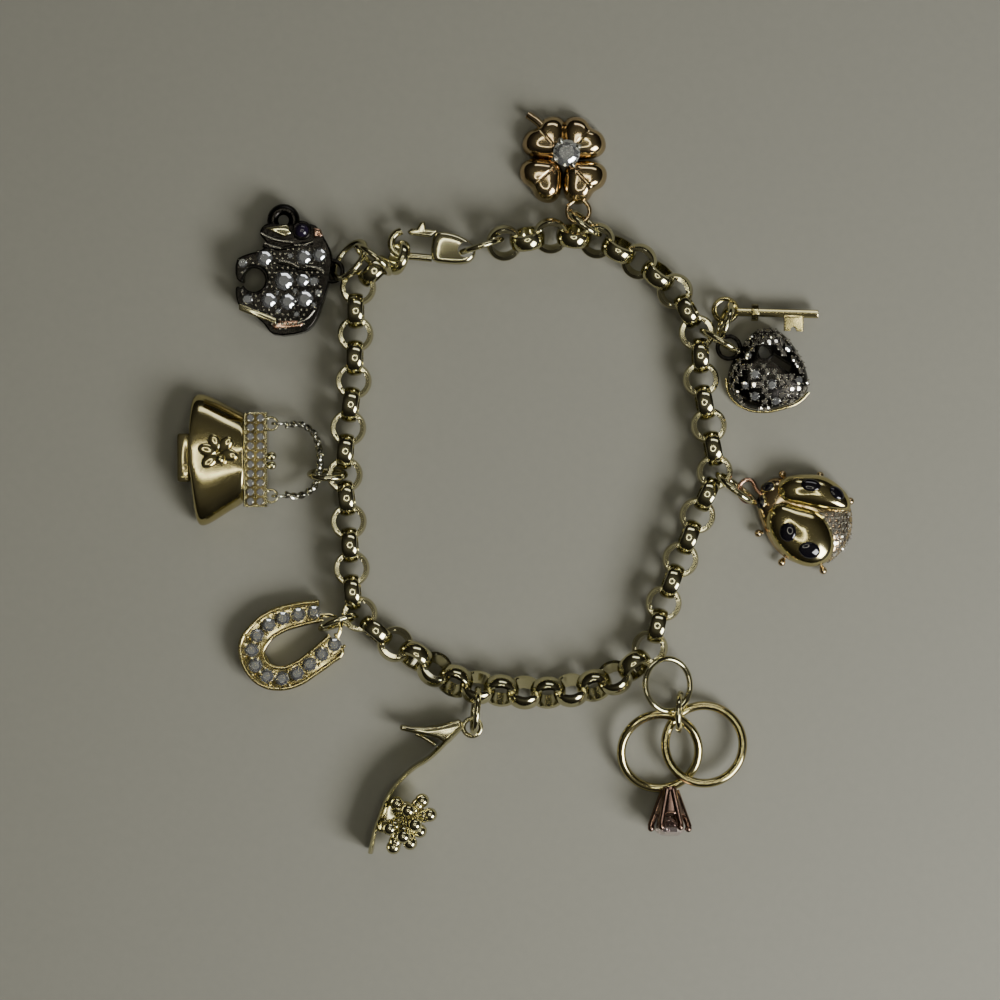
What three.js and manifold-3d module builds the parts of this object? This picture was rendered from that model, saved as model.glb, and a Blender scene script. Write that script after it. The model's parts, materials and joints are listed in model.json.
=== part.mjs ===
// Charm bracelet: a closed belcher chain with a lobster clasp and eight lying charms.
// Millimetres. +Z is up, off the table that the bracelet lies on, and +Y is the clasp side.
import * as THREE from 'three';
import { mergeVertices } from 'three/addons/utils/BufferGeometryUtils.js';
import Module from 'manifold-3d';

const wasm = await Module();
wasm.setup();

// Clearances between separate pieces.
const gap = 0.15;
const stoneGap = 0.1;
// A join can leave a stray flat body where two faces nearly coincide; this much volume is none.
const sliver = 1e-3;

// Chain: D-section round links.
const linkOuter = 4.9;
const linkBand = 2.1;
const linkPitch = 3.16;
const linkFuse = 0.1;
const linkSides = 10;
const meetGap = 0.24;
const endBand = 1.4;
const chainJoint = 27;

// The line that the chain lies along, from the clasp's hook round to its jump ring.
const chainRoute = [
  [-19.4, 28.4], [-21.5, 26.4], [-21.9, 21.2], [-22.1, 14.7], [-22.8, 8.5], [-23.4, 2.0], [-22.9, -4.5],
  [-22.5, -10.8], [-21.9, -16.6], [-19.5, -19.6], [-14.0, -23.2], [-8.0, -26.8], [-1.9, -27.9], [4.1, -28.1],
  [9.9, -27.2], [14.8, -25.0], [17.6, -22.0], [19.2, -16.6], [21.6, -10.3], [24.0, -4.1], [26.2, 1.4],
  [25.5, 7.2], [24.4, 13.5], [24.0, 19.6], [20.9, 25.7], [15.8, 29.9], [10.5, 32.5], [4.9, 33.2], [-2.0, 32.2],
];
// The links are spaced evenly, and each hole is as wide as fuses the links at their spacing.
const chainLine = new THREE.CatmullRomCurve3(
  chainRoute.map(([x, y]) => new THREE.Vector3(x, y, 0)), false, 'centripetal');
chainLine.arcLengthDivisions = 1000;
const chainLength = chainLine.getLength() + meetGap;
const chainGaps = Math.round(chainLength / linkPitch);
const chainPitch = chainLength / chainGaps;
const linkBore = (chainPitch - linkFuse) / Math.cos(Math.PI / linkSides);
// How far the links lie rolled over, by the share of the chain's length.
const chainRoll = [
  { along: 0.0, roll: 0 }, { along: 0.29, roll: 0 }, { along: 0.37, roll: 45 }, { along: 0.5, roll: 45 },
  { along: 0.57, roll: 0 }, { along: 0.8, roll: 0 }, { along: 0.87, roll: 25 }, { along: 1.0, roll: 25 },
];

// Clasp.
const claspLength = 11.2;
const claspWidth = 4.3;
const claspThick = 2.0;
const claspArm = 1.05;
const claspRise = 1.3;
const claspPivot = 0.9;
const claspAt = [-11.3, 31.7];
const claspTurn = -6.5;
const leverRun = 3.35;
const leverThick = 1.0;
const lugHigh = 1.1;
const tailBore = 2.2;

// Elephant.
const elephantWide = 12.8;
const elephantHigh = 17.1;
const elephantThick = 4.2;
const elephantAt = [-31.5, 28.45];
const elephantStone = 2.1;
const elephantEye = 2.0;

// Handbag.
const bagHigh = 7.4;
const bagWide = 18.1;
const bagThick = 5.0;
const bagAt = [-40.4, 3.1];
const bagFrameHigh = 2.9;
const bagFrameWide = 12.7;
const bagFrameThick = 2.8;
const claspBall = 1.3;
const flowerWide = 5.0;
const footWide = 6.6;
const footHigh = 1.9;
const handleWire = 0.8;
const handleReach = 7.2;
const handleEye = 2.2;
const handleEyeWire = 0.45;

// Horseshoe.
const shoeSpanX = 14.0;
const shoeSpanY = 12.4;
const shoeThick = 2.0;
const shoeAt = [-30.5, -21.65];
const shoeBailLevel = 1.5;
const shoeStone = 1.9;
const shoeStones = 12;

// Heeled mule.
const muleRun = 16.5;
const muleDrop = 20.4;
const muleWide = 4.2;
const soleThick = 0.75;
const heelRun = 8.0;
const muleAt = [-12.85, -40.8];
const pompomRod = 0.8;
const pompomReach = 3.3;

// Interlocked rings.
const bandOuter = 11.6;
const bandWire = 1.2;
const bandShift = 6.0;
const bandLean = 8.7;
const bandsAt = [21.85, -35.45];
const bandsTip = 5;
const bandsRise = 0.55;
const solitaire = 4.2;
const headHigh = 5.6;
const headLift = 0.7;

// Ladybug.
const ladyWide = 13.4;
const ladyBase = 1.7;
const ladyHigh = 4.2;
const ladyAt = [38.5, -5.4];
const ladySpot = 2.1;

// Heart padlock and key.
const heartWide = 11.6;
const heartThick = 4.0;
const heartAt = [33.35, 15.45];
const heartStone = 1.4;
const keyholeBore = 1.9;
const keyLength = 14.2;
const keyShaft = 1.15;
const keyAt = [33.1, 22.9];

// Clover.
const leafWide = 6.6;
const leafHigh = 2.6;
const cloverAt = [6.05, 43.4];
const cloverStone = 3.6;

// Wires.
const ringWire = 0.8;
const bailWire = 0.6;
const wireSides = 5;
const ringSides = 10;

// Materials.
const metals = {
  paleGold: { color: 0xcdbb7c, roughness: 0.16, metalness: 1 },
  gold: { color: 0xc8a652, roughness: 0.16, metalness: 1 },
  roseGold: { color: 0xb98a6a, roughness: 0.2, metalness: 1 },
  blackRhodium: { color: 0x35332f, roughness: 0.35, metalness: 0.9 },
  clearStone: { color: 0xe8eef0, roughness: 0.03, metalness: 0 },
  darkStone: { color: 0x15121c, roughness: 0.08, metalness: 0 },
};

const TURN = Math.PI * 2;
const rad = THREE.MathUtils.degToRad;
const bracelet = new THREE.Group();

// Solids and joins.
function merged(geometry) {
  const bare = geometry.clone();
  bare.deleteAttribute('normal');
  bare.deleteAttribute('uv');
  const whole = mergeVertices(bare, 1e-4);
  const { array } = whole.index;
  const kept = [];
  for (let i = 0; i < array.length; i += 3) {
    const [a, b, c] = [array[i], array[i + 1], array[i + 2]];
    if (a !== b && b !== c && c !== a) kept.push(a, b, c);
  }
  return whole.setIndex(kept);
}

function toSolid(geometry) {
  const whole = merged(geometry);
  return new wasm.Manifold(new wasm.Mesh({
    numProp: 3,
    vertProperties: new Float32Array(whole.attributes.position.array),
    triVerts: new Uint32Array(whole.index.array),
  }));
}

function toGeometry(solid) {
  const mesh = solid.getMesh();
  const geometry = new THREE.BufferGeometry();
  geometry.setAttribute('position', new THREE.BufferAttribute(new Float32Array(mesh.vertProperties), 3));
  geometry.setIndex(new THREE.BufferAttribute(new Uint32Array(mesh.triVerts), 1));
  return geometry;
}

function join(shapes) {
  const whole = shapes.map(toSolid).reduce((sum, next) => sum.add(next));
  const bodies = whole.decompose().filter((body) => body.volume() > sliver);
  return toGeometry(bodies.reduce((sum, next) => sum.add(next)));
}

function cut(shape, tools) {
  return toGeometry(tools.map(toSolid).reduce((rest, tool) => rest.subtract(tool), toSolid(shape)));
}

function add(name, geometry, metal, parent = bracelet) {
  const mesh = new THREE.Mesh(merged(geometry), new THREE.MeshStandardMaterial(metals[metal]));
  mesh.name = name;
  parent.add(mesh);
  return mesh;
}

function charm([x, y], turn = 0) {
  const group = new THREE.Group();
  group.position.set(x, y, 0);
  group.rotation.z = rad(turn);
  bracelet.add(group);
  return group;
}

// Plain shapes. Every one lies on z = 0 or is centred where it says.
function placed(geometry, [x, y, z]) {
  return geometry.translate(x, y, z);
}

function scaled(points, wide, high) {
  return points.map(([x, y]) => [x * wide, y * high]);
}

function plate(points, thick, round, steps = 1) {
  const shape = new THREE.Shape(points.map(([x, y]) => new THREE.Vector2(x, y)));
  const soft = round > 0;
  const geometry = new THREE.ExtrudeGeometry(shape, {
    depth: thick - 2 * round, bevelEnabled: soft, bevelSize: round, bevelThickness: round,
    bevelOffset: -round, bevelSegments: steps, curveSegments: 6,
  });
  return geometry.translate(0, 0, round);
}

// A pillow over an outline: layers of the outline, drawn in towards its middle as they rise.
function pillow(outline, layers, middle = [0, 0]) {
  const [cx, cy] = middle;
  const corners = outline.map(([x, y]) => new THREE.Vector2(x, y));
  const points = THREE.ShapeUtils.area(corners) < 0 ? [...outline].reverse() : outline;
  const vertices = [cx, cy, layers[0][1]];
  const rings = layers.filter(([share]) => share > 0);
  for (const [share, z] of rings) {
    for (const [x, y] of points) vertices.push(cx + (x - cx) * share, cy + (y - cy) * share, z);
  }
  vertices.push(cx, cy, layers[layers.length - 1][1]);
  const count = points.length;
  const top = vertices.length / 3 - 1;
  const index = [];
  for (let i = 0; i < count; i += 1) {
    const j = (i + 1) % count;
    index.push(0, 1 + j, 1 + i);
    for (let k = 0; k < rings.length - 1; k += 1) {
      const low = 1 + k * count;
      const high = low + count;
      index.push(low + i, low + j, high + j, low + i, high + j, high + i);
    }
    index.push(top, top - count + i, top - count + j);
  }
  const geometry = new THREE.BufferGeometry();
  geometry.setAttribute('position', new THREE.Float32BufferAttribute(vertices, 3));
  geometry.setIndex(index);
  return geometry;
}

const dome = (high, rim) => [[1, 0], [1, rim], [0.68, rim + (high - rim) * 0.78], [0, high]];

function rod(radius, length, sides = 8, endRadius = radius) {
  return new THREE.CylinderGeometry(endRadius, radius, length, sides).rotateX(Math.PI / 2);
}

function ball(radius, sides = 8) {
  return new THREE.SphereGeometry(radius, sides, Math.max(4, sides / 2)).rotateX(Math.PI / 2);
}

function stretch(geometry, from, to) {
  const start = new THREE.Vector3(...from);
  const run = new THREE.Vector3(...to).sub(start);
  const turn = new THREE.Quaternion().setFromUnitVectors(new THREE.Vector3(0, 0, 1), run.clone().normalize());
  return geometry.applyQuaternion(turn).translate(...start.addScaledVector(run, 0.5).toArray());
}

function bar(from, to, radius, sides = wireSides, endRadius = radius) {
  const length = new THREE.Vector3(...from).distanceTo(new THREE.Vector3(...to));
  return stretch(rod(radius, length, sides, endRadius), from, to);
}

function tube(points, radius, sides, steps) {
  const path = new THREE.CatmullRomCurve3(points.map((p) => new THREE.Vector3(...p)));
  const section = new THREE.Shape();
  for (let i = 0; i < sides; i += 1) {
    const angle = (i / sides) * TURN;
    const corner = [radius * Math.cos(angle), radius * Math.sin(angle)];
    if (i === 0) section.moveTo(...corner);
    else section.lineTo(...corner);
  }
  return new THREE.ExtrudeGeometry(section, { steps, extrudePath: path, bevelEnabled: false });
}

// A wire ring round an axis that leans from straight up, towards an azimuth.
function ring({ at, outer, wire, lean = 0, towards = 0, sides = ringSides, long = 0 }) {
  const geometry = new THREE.TorusGeometry((outer - wire) / 2, wire / 2, wireSides, sides);
  if (long > 0) geometry.scale(1, long / outer, 1);
  return geometry.rotateY(rad(lean)).rotateZ(rad(towards)).translate(...at);
}

// A cut stone, table up, with its girdle at z = 0.
function cutStone(wide, sides = 8) {
  const r = wide / 2;
  const profile = [[0, -0.8 * r], [r, -0.06 * r], [r, 0.06 * r], [0.56 * r, 0.36 * r], [0, 0.36 * r]];
  const points = profile.map(([x, y]) => new THREE.Vector2(x, y));
  return new THREE.LatheGeometry(points, sides).rotateX(Math.PI / 2);
}

// A low faceted crown that is fused to its setting.
function setStone(wide, x, y, z, sides = 8) {
  const r = wide / 2;
  const profile = [[0, -0.3 * r], [r, -0.3 * r], [0.56 * r, 0.42 * r], [0, 0.42 * r]];
  const points = profile.map(([px, py]) => new THREE.Vector2(px, py));
  return new THREE.LatheGeometry(points, sides).rotateX(Math.PI / 2).translate(x, y, z);
}

// Chain.
function linkGeometry(band = linkBand) {
  const inner = linkBore / 2;
  const outer = linkOuter / 2;
  const wall = outer - inner;
  const half = band / 2;
  const profile = [
    [inner, 0], [inner + 0.62 * wall, -half], [outer, 0], [inner + 0.62 * wall, half], [inner, 0],
  ].map(([x, y]) => new THREE.Vector2(x, y));
  return new THREE.LatheGeometry(profile, linkSides).rotateX(Math.PI / 2);
}

function rollAt(share) {
  const next = chainRoll.findIndex((row) => row.along >= share);
  if (next <= 0) return chainRoll[0].roll;
  const low = chainRoll[next - 1];
  const high = chainRoll[next];
  return low.roll + (high.roll - low.roll) * ((share - low.along) / (high.along - low.along));
}

// The height of a link's middle when it lies on the table, rolled over by an angle.
function restHeight(roll) {
  const s = Math.abs(Math.sin(rad(roll)));
  const c = Math.abs(Math.cos(rad(roll)));
  const edge = (linkBore + 0.62 * (linkOuter - linkBore)) / 2;
  return Math.max((linkOuter / 2) * s, edge * s + (linkBand / 2) * c);
}

function chainLinks() {
  const links = [];
  for (let k = 0; k <= chainGaps; k += 1) {
    const along = k * chainPitch - (k >= chainJoint ? meetGap : 0);
    const share = along / (chainLength - meetGap);
    const base = rollAt(share);
    const roll = base + (k % 2 ? 0 : 90);
    const height = Math.max(restHeight(base), restHeight(base + 90));
    const tangent = chainLine.getTangentAt(share);
    const side = new THREE.Vector3(-tangent.y, tangent.x, 0);
    const normal = new THREE.Vector3(0, 0, Math.cos(rad(roll))).addScaledVector(side, Math.sin(rad(roll)));
    const across = new THREE.Vector3().crossVectors(normal, tangent);
    const place = new THREE.Matrix4().makeBasis(tangent, across, normal);
    place.setPosition(chainLine.getPointAt(share).setZ(height));
    links.push(place);
  }
  return links;
}

// The narrow first link, which the clasp's hook runs through.
const endLink = { at: [-16.15, 30.25, 2.3], lean: 67, towards: 162 };

function buildChain() {
  const links = chainLinks().map((place) => linkGeometry().applyMatrix4(place));
  const hooked = linkGeometry(endBand).rotateY(rad(endLink.lean)).rotateZ(rad(endLink.towards));
  add('chain_left', join([hooked.translate(...endLink.at), ...links.slice(0, chainJoint)]), 'paleGold');
  add('chain_right', join(links.slice(chainJoint)), 'paleGold');
}

// Clasp: a pillow body, a fixed hook arm round to the tip, and a lever that shuts the loop.
function buildClasp() {
  const place = charm(claspAt, claspTurn);
  place.position.z = claspRise;
  const half = claspWidth / 2;
  const level = claspThick / 2;
  const start = -claspLength * 0.05;
  const end = claspLength * 0.5;
  const hookAt = -claspLength * 0.38;
  const armLine = half - claspArm / 2;
  const shell = plate([
    [start - 0.3, -half], [end - 1.6, -half], [end, -half * 0.45], [end, half * 0.45], [end - 1.6, half],
    [start + claspPivot * 1.2, half], [start, half - leverThick - gap], [start - 0.3, 0],
  ], claspThick, 0.35);
  const hook = [[start + 0.6, -armLine, level], [hookAt * 0.5, -armLine, level]];
  for (const angle of [-90, -125, -160, -195, -230, -256]) {
    hook.push([hookAt + armLine * Math.cos(rad(angle)), armLine * Math.sin(rad(angle)), level]);
  }
  const arm = tube(hook, claspArm / 2, 6, 12);
  const eye = rod(tailBore / 2, claspThick * 3, 10);
  const body = cut(join([shell, arm]), [placed(eye, [end - 1.4, 0, level])]);
  add('clasp_body', body, 'paleGold', place);

  const tip = start - leverRun;
  const leverLine = [
    [start + claspPivot - gap, half], [start - gap, half - leverThick], [tip + 0.4, half - leverThick],
    [tip, half - leverThick * 0.6], [tip + 0.5, half - 0.1], [tip + 1.2, half],
    [tip + 1.6, half + lugHigh * 0.8], [tip + 2.2, half + lugHigh], [tip + 2.5, half],
  ];
  const thin = 0.15;
  add('clasp_lever', plate(leverLine, claspThick - 2 * thin, 0.2).translate(0, 0, thin), 'paleGold', place);
}

// Elephant, lying on its side with its feet to the left.
const elephantOutline = [
  [-0.24, 0.31], [-0.17, 0.35], [-0.01, 0.36], [0.13, 0.37], [0.33, 0.35], [0.43, 0.25], [0.50, 0.12], [0.48, -0.05],
  [0.42, -0.22], [0.32, -0.41], [0.22, -0.48], [-0.11, -0.50], [-0.21, -0.42], [-0.30, -0.36], [-0.46, -0.29],
  [-0.50, -0.20], [-0.49, -0.12], [-0.38, -0.13], [-0.28, -0.18], [-0.20, -0.14], [-0.17, -0.07], [-0.21, 0.00],
  [-0.32, 0.03], [-0.42, 0.00], [-0.49, -0.04], [-0.49, 0.08], [-0.41, 0.12], [-0.24, 0.16], [-0.17, 0.21],
];
const elephantStones = [
  { x: -0.19, y: 0.10, size: 1.0 }, { x: -0.37, y: 0.06, size: 0.6 }, { x: 0.20, y: 0.11, size: 1.0 },
  { x: 0.36, y: 0.12, size: 0.95 }, { x: 0.01, y: -0.08, size: 1.2 }, { x: 0.18, y: -0.10, size: 0.95 },
  { x: -0.37, y: -0.22, size: 0.8 }, { x: -0.15, y: -0.24, size: 1.05 },
  { x: 0.04, y: -0.27, size: 1.1 }, { x: 0.22, y: -0.27, size: 1.1 },
];

function buildElephant() {
  const place = charm(elephantAt);
  const body = plate(scaled(elephantOutline, elephantWide, elephantHigh), elephantThick, 0.55);
  const eyeAt = [0.18 * elephantWide, 0.29 * elephantHigh];
  const bezel = placed(rod(elephantEye * 0.68, elephantThick, 10), [...eyeAt, elephantThick * 0.62]);
  const curl = ring({
    at: [-0.01 * elephantWide, 0.40 * elephantHigh, elephantThick * 0.45],
    outer: 4.4, wire: 1.5, lean: 12, towards: 90, sides: 10,
  });
  const brow = bar([-0.22 * elephantWide, 0.27 * elephantHigh, elephantThick * 0.75],
    [0.4 * elephantWide, 0.27 * elephantHigh, elephantThick * 0.75], 0.6, 6);
  const stones = elephantStones.map(({ x, y, size }) => setStone(
    elephantStone * size, x * elephantWide, y * elephantHigh, elephantThick));
  const bail = ring({
    at: [0.50 * elephantWide, 0.0, elephantThick * 0.5],
    outer: 3.4, wire: bailWire, lean: 0, towards: 0, sides: 10,
  });
  const whole = join([body, bezel, curl, brow, bail, ...stones]);
  const pocket = placed(rod(elephantEye / 2 + stoneGap, elephantThick, 10), [...eyeAt, elephantThick * 1.4]);
  add('elephant_body', cut(whole, [pocket]), 'blackRhodium', place);
  const eye = pillow(polygon(elephantEye / 2, 10), dome(1.1, 0.5));
  add('elephant_eye', placed(eye, [...eyeAt, elephantThick * 0.9 + stoneGap]), 'darkStone', place);
}

function polygon(radius, sides) {
  return Array.from({ length: sides }, (_, i) => {
    const angle = (i / sides) * TURN;
    return [radius * Math.cos(angle), radius * Math.sin(angle)];
  });
}

// Handbag, lying on its back with its base to the left.
const bagOutline = [
  [-0.50, 0.21], [-0.46, 0.48], [-0.30, 0.50], [-0.08, 0.45], [0.19, 0.39], [0.50, 0.34],
  [0.50, -0.31], [0.21, -0.38], [-0.08, -0.46], [-0.30, -0.50], [-0.39, -0.37], [-0.48, -0.15],
];

function buildBag() {
  const place = charm(bagAt);
  const shell = plate(scaled(bagOutline, bagHigh, bagWide), bagThick, 0.8);
  const foot = new THREE.BoxGeometry(footHigh + 0.6, footWide, bagThick * 0.6);
  const footLeft = -bagHigh / 2 - footHigh / 2 + 0.3;
  const stud = placed(ball(0.5, 8), [footLeft - footHigh / 2 - 0.1, -footWide * 0.42, bagThick * 0.4]);
  add('bag_body', join([shell, placed(foot, [footLeft, 0, bagThick * 0.5]), stud]), 'gold', place);

  const petals = [];
  for (let i = 0; i < 5; i += 1) {
    const angle = (i / 5) * TURN + 0.3;
    const reach = flowerWide * 0.29;
    const petal = pillow(polygon(flowerWide * 0.23, 7), dome(1.0, 0.35));
    petals.push(placed(petal, [reach * Math.cos(angle), reach * Math.sin(angle), 0]));
  }
  petals.push(placed(ball(0.75, 8), [0, -0.3, 0.9]));
  petals.push(placed(rod(flowerWide * 0.2, 0.5, 8), [0, 0, 0.25]));
  add('bag_flower', placed(join(petals), [0.03 * bagHigh, 0.06 * bagWide, bagThick + gap]), 'gold', place);

  const frameLeft = bagHigh / 2 + gap;
  const frameMiddle = frameLeft + bagFrameHigh / 2;
  const frameBase = (bagThick - bagFrameThick) / 2;
  const rail = placed(new THREE.BoxGeometry(bagFrameHigh, bagFrameWide, bagFrameThick),
    [frameMiddle, 0, frameBase + bagFrameThick / 2]);
  const parts = [rail];
  for (const side of [-1, 1]) {
    const y = side * claspBall * 0.48 - 0.1;
    parts.push(placed(ball(claspBall / 2, 8), [frameLeft + bagFrameHigh + claspBall * 0.38, y, bagThick * 0.5]));
    parts.push(ring({
      at: [frameLeft + bagFrameHigh + 0.45, side * (bagFrameWide / 2 - 1.5), bagThick * 0.5],
      outer: handleEye, wire: handleEyeWire, lean: 0,
    }));
  }
  add('bag_frame', join(parts), 'paleGold', place);

  const eyeX = frameLeft + bagFrameHigh + 0.45;
  const eyeY = bagFrameWide / 2 - 1.5;
  const level = bagThick * 0.5;
  const handle = [];
  const start = [eyeX + 1.9, eyeY - 0.2, level];
  const bend = [
    start, [eyeX + handleReach * 0.55, eyeY - 0.1, level], [eyeX + handleReach * 0.8, eyeY * 0.7, level],
    [eyeX + handleReach * 0.9, 0, level], [eyeX + handleReach * 0.8, -eyeY * 0.72, level],
    [eyeX + handleReach * 0.5, -eyeY, level], [eyeX + 1.9, -eyeY + 0.2, level],
  ];
  handle.push(tube(bend, handleWire / 2, 5, 13));
  for (const side of [-1, 1]) {
    handle.push(ring({
      at: [eyeX + handleEye * 0.43, side * eyeY, level], outer: handleEye * 0.91, wire: handleEyeWire,
      lean: 90, towards: 90,
    }));
  }
  add('bag_handle', join(handle), 'paleGold', place);
}

// Horseshoe.
const shoeOutline = [
  [0.24, 0.49], [-0.02, 0.43], [-0.25, 0.34], [-0.41, 0.17], [-0.50, 0.01], [-0.49, -0.17], [-0.41, -0.35],
  [-0.28, -0.47], [-0.12, -0.50], [0.08, -0.45], [0.26, -0.30], [0.39, -0.18], [0.50, -0.05],
  [0.35, 0.11], [0.16, -0.09], [0.02, -0.21], [-0.10, -0.25], [-0.20, -0.22], [-0.26, -0.11], [-0.22, 0.01],
  [-0.10, 0.13], [0.08, 0.21], [0.25, 0.24],
];
const shoeMiddleLine = [
  [0.20, 0.36], [-0.05, 0.30], [-0.22, 0.21], [-0.34, 0.07], [-0.38, -0.10], [-0.32, -0.27], [-0.18, -0.37],
  [0.00, -0.35], [0.16, -0.22], [0.30, -0.08], [0.41, 0.02],
];

function buildHorseshoe() {
  const place = charm(shoeAt, -2.5);
  const body = plate(scaled(shoeOutline, shoeSpanX, shoeSpanY), shoeThick, 0.25);
  const line = new THREE.CatmullRomCurve3(
    scaled(shoeMiddleLine, shoeSpanX, shoeSpanY).map(([x, y]) => new THREE.Vector3(x, y, shoeThick)));
  const stones = line.getSpacedPoints(shoeStones - 1).map((p) => setStone(shoeStone, p.x, p.y, p.z));
  const bail = tube([
    [0.24 * shoeSpanX, 0.32 * shoeSpanY, shoeBailLevel], [0.38 * shoeSpanX, 0.33 * shoeSpanY, shoeBailLevel],
    [0.46 * shoeSpanX, 0.23 * shoeSpanY, shoeBailLevel], [0.41 * shoeSpanX, 0.04 * shoeSpanY, shoeBailLevel],
  ], bailWire / 2, 6, 8);
  add('horseshoe', join([body, bail, ...stones]), 'gold', place);
}

// Heeled mule, lying on its side with its toe down.
const soleLine = [
  [0.34, 0.38], [0.15, 0.26], [-0.05, 0.12], [-0.20, -0.01], [-0.31, -0.13], [-0.40, -0.27], [-0.46, -0.42],
];

function buildMule() {
  const place = charm(muleAt, 3);
  const points = scaled(soleLine, muleRun, muleDrop);
  const line = new THREE.CatmullRomCurve3(points.map(([x, y]) => new THREE.Vector3(x, y, 0)));
  const near = [];
  const far = [];
  const steps = 12;
  for (let i = 0; i <= steps; i += 1) {
    const share = i / steps;
    const p = line.getPointAt(share);
    const t = line.getTangentAt(share);
    const half = (soleThick / 2) * (1 - 0.5 * share);
    near.push([p.x - t.y * half, p.y + t.x * half]);
    far.unshift([p.x + t.y * half, p.y - t.x * half]);
  }
  const sole = plate([...near, ...far], muleWide, 0.1);
  const [seatX, seatY] = points[0];
  const heelTip = [seatX - heelRun, seatY + 0.35];
  const heel = plate([
    [seatX + 0.1, seatY + 0.9], [seatX - 1.2, seatY + 1.0], [seatX - heelRun * 0.5, seatY + 0.55],
    [heelTip[0], heelTip[1] + 0.45], [heelTip[0], heelTip[1] - 0.45], [seatX - heelRun * 0.55, seatY - 0.9],
    [seatX - 3.1, seatY - 2.0], [seatX - 2.2, seatY - 1.6],
  ], muleWide * 0.4, 0.2).translate(0, 0, muleWide * 0.3);
  const eye = ring({
    at: [seatX + 1.35, seatY - 0.1, muleWide * 0.5], outer: 3.0, wire: 0.65, lean: 0, sides: 10,
  });
  const strap = plate([
    [-0.33 * muleRun, -0.14 * muleDrop], [-0.18 * muleRun, -0.14 * muleDrop], [-0.12 * muleRun, -0.22 * muleDrop],
    [-0.2 * muleRun, -0.34 * muleDrop], [-0.40 * muleRun, -0.32 * muleDrop], [-0.38 * muleRun, -0.24 * muleDrop],
  ], muleWide, 0.3);

  const heart = [-0.10 * muleRun, -0.25 * muleDrop, muleWide * 0.55];
  const rods = [placed(ball(1.0, 8), heart)];
  const tiers = [{ count: 6, rise: 0, reach: 1 }, { count: 4, rise: 40, reach: 0.95 }];
  for (const { count, rise, reach } of tiers) {
    for (let i = 0; i < count; i += 1) {
      const angle = rad(-152 + (i * 150) / (count - 1) + 25);
      const flat = Math.cos(rad(rise)) * pompomReach * reach;
      const end = [
        heart[0] + flat * Math.cos(angle), heart[1] + flat * Math.sin(angle),
        heart[2] + Math.sin(rad(rise)) * pompomReach * 0.6,
      ];
      rods.push(bar(heart, end, pompomRod / 2, 5));
    }
  }
  add('mule_body', join([sole, heel, eye, strap, ...rods]), 'paleGold', place);
}

// Two interlocked rings, one with a solitaire head.
function buildRings() {
  const place = charm(bandsAt, 9);
  place.rotation.x = rad(bandsTip);
  place.position.z = bandsRise;
  const centre = (bandOuter - bandWire) / 2;
  const level = bandWire / 2 + centre * Math.sin(rad(bandLean));
  const plain = ring({
    at: [bandShift / 2, 0, level], outer: bandOuter, wire: bandWire, lean: bandLean, towards: 90, sides: 20,
  });
  add('plain_ring', plain, 'gold', place);

  const set = ring({
    at: [-bandShift / 2, 0, level], outer: bandOuter, wire: bandWire, lean: bandLean, towards: -90, sides: 20,
  });
  const low = headHigh * 0.12;
  const wide = solitaire / 2 + 0.55;
  const parts = [rod(1.0, headHigh * 0.5, 6, 1.5).translate(0, 0, headHigh * 0.25)];
  const stoneLevel = headHigh * 0.93;
  for (let i = 0; i < 6; i += 1) {
    const angle = (i / 6) * TURN;
    const foot = [0.75 * Math.cos(angle), 0.75 * Math.sin(angle), low];
    const tipAt = [wide * Math.cos(angle), wide * Math.sin(angle), headHigh];
    parts.push(bar(foot, tipAt, 0.55, 4, 0.4));
  }
  const seat = cutStone(solitaire + stoneGap * 2).translate(0, 0, stoneLevel);
  const basket = cut(join(parts), [seat]);
  const stone = cutStone(solitaire).translate(0, 0, stoneLevel);
  for (const piece of [basket, stone]) {
    piece.rotateX(rad(90)).rotateX(rad(-18)).rotateZ(rad(-10));
    piece.translate(-bandShift / 2 + 0.55, -centre + 0.2, bandWire * 0.75 + headLift);
  }
  add('solitaire_ring', join([set, basket]), 'roseGold', place);
  add('solitaire_stone', stone, 'clearStone', place);
}

// Ladybug, head to the upper left.
const ladyOutline = [
  [-0.48, 0.24], [-0.40, 0.38], [-0.28, 0.45], [-0.10, 0.48], [0.14, 0.48], [0.36, 0.34], [0.47, 0.17], [0.49, -0.03],
  [0.42, -0.24], [0.28, -0.38], [0.08, -0.45], [-0.14, -0.40], [-0.32, -0.27], [-0.40, -0.08], [-0.47, 0.06],
];
const wingUpper = [
  [-0.22, 0.27], [-0.25, 0.40], [-0.10, 0.47], [0.13, 0.45], [0.32, 0.34], [0.42, 0.15], [0.20, 0.15], [-0.05, 0.20],
];
const wingLower = [
  [-0.24, 0.22], [-0.07, 0.16], [0.10, 0.04], [0.20, -0.20], [0.16, -0.36], [0.02, -0.40], [-0.15, -0.33],
  [-0.30, -0.16], [-0.37, 0.04], [-0.34, 0.16],
];
const abdomen = [
  [0.14, 0.10], [0.42, 0.11], [0.46, -0.04], [0.40, -0.22], [0.26, -0.36], [0.21, -0.34], [0.24, -0.20], [0.18, -0.02],
];
const ladySpots = [
  { wing: 'upper', x: 0.06, y: 0.36, size: 1.0 }, { wing: 'upper', x: 0.28, y: 0.28, size: 0.9 },
  { wing: 'lower', x: -0.20, y: -0.08, size: 1.0 }, { wing: 'lower', x: 0.00, y: -0.26, size: 1.1 },
];
const ladyLegs = [[-0.20, 0.47], [0.16, 0.49], [0.46, 0.20], [-0.42, -0.08], [-0.23, -0.36], [0.13, -0.45]];

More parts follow.
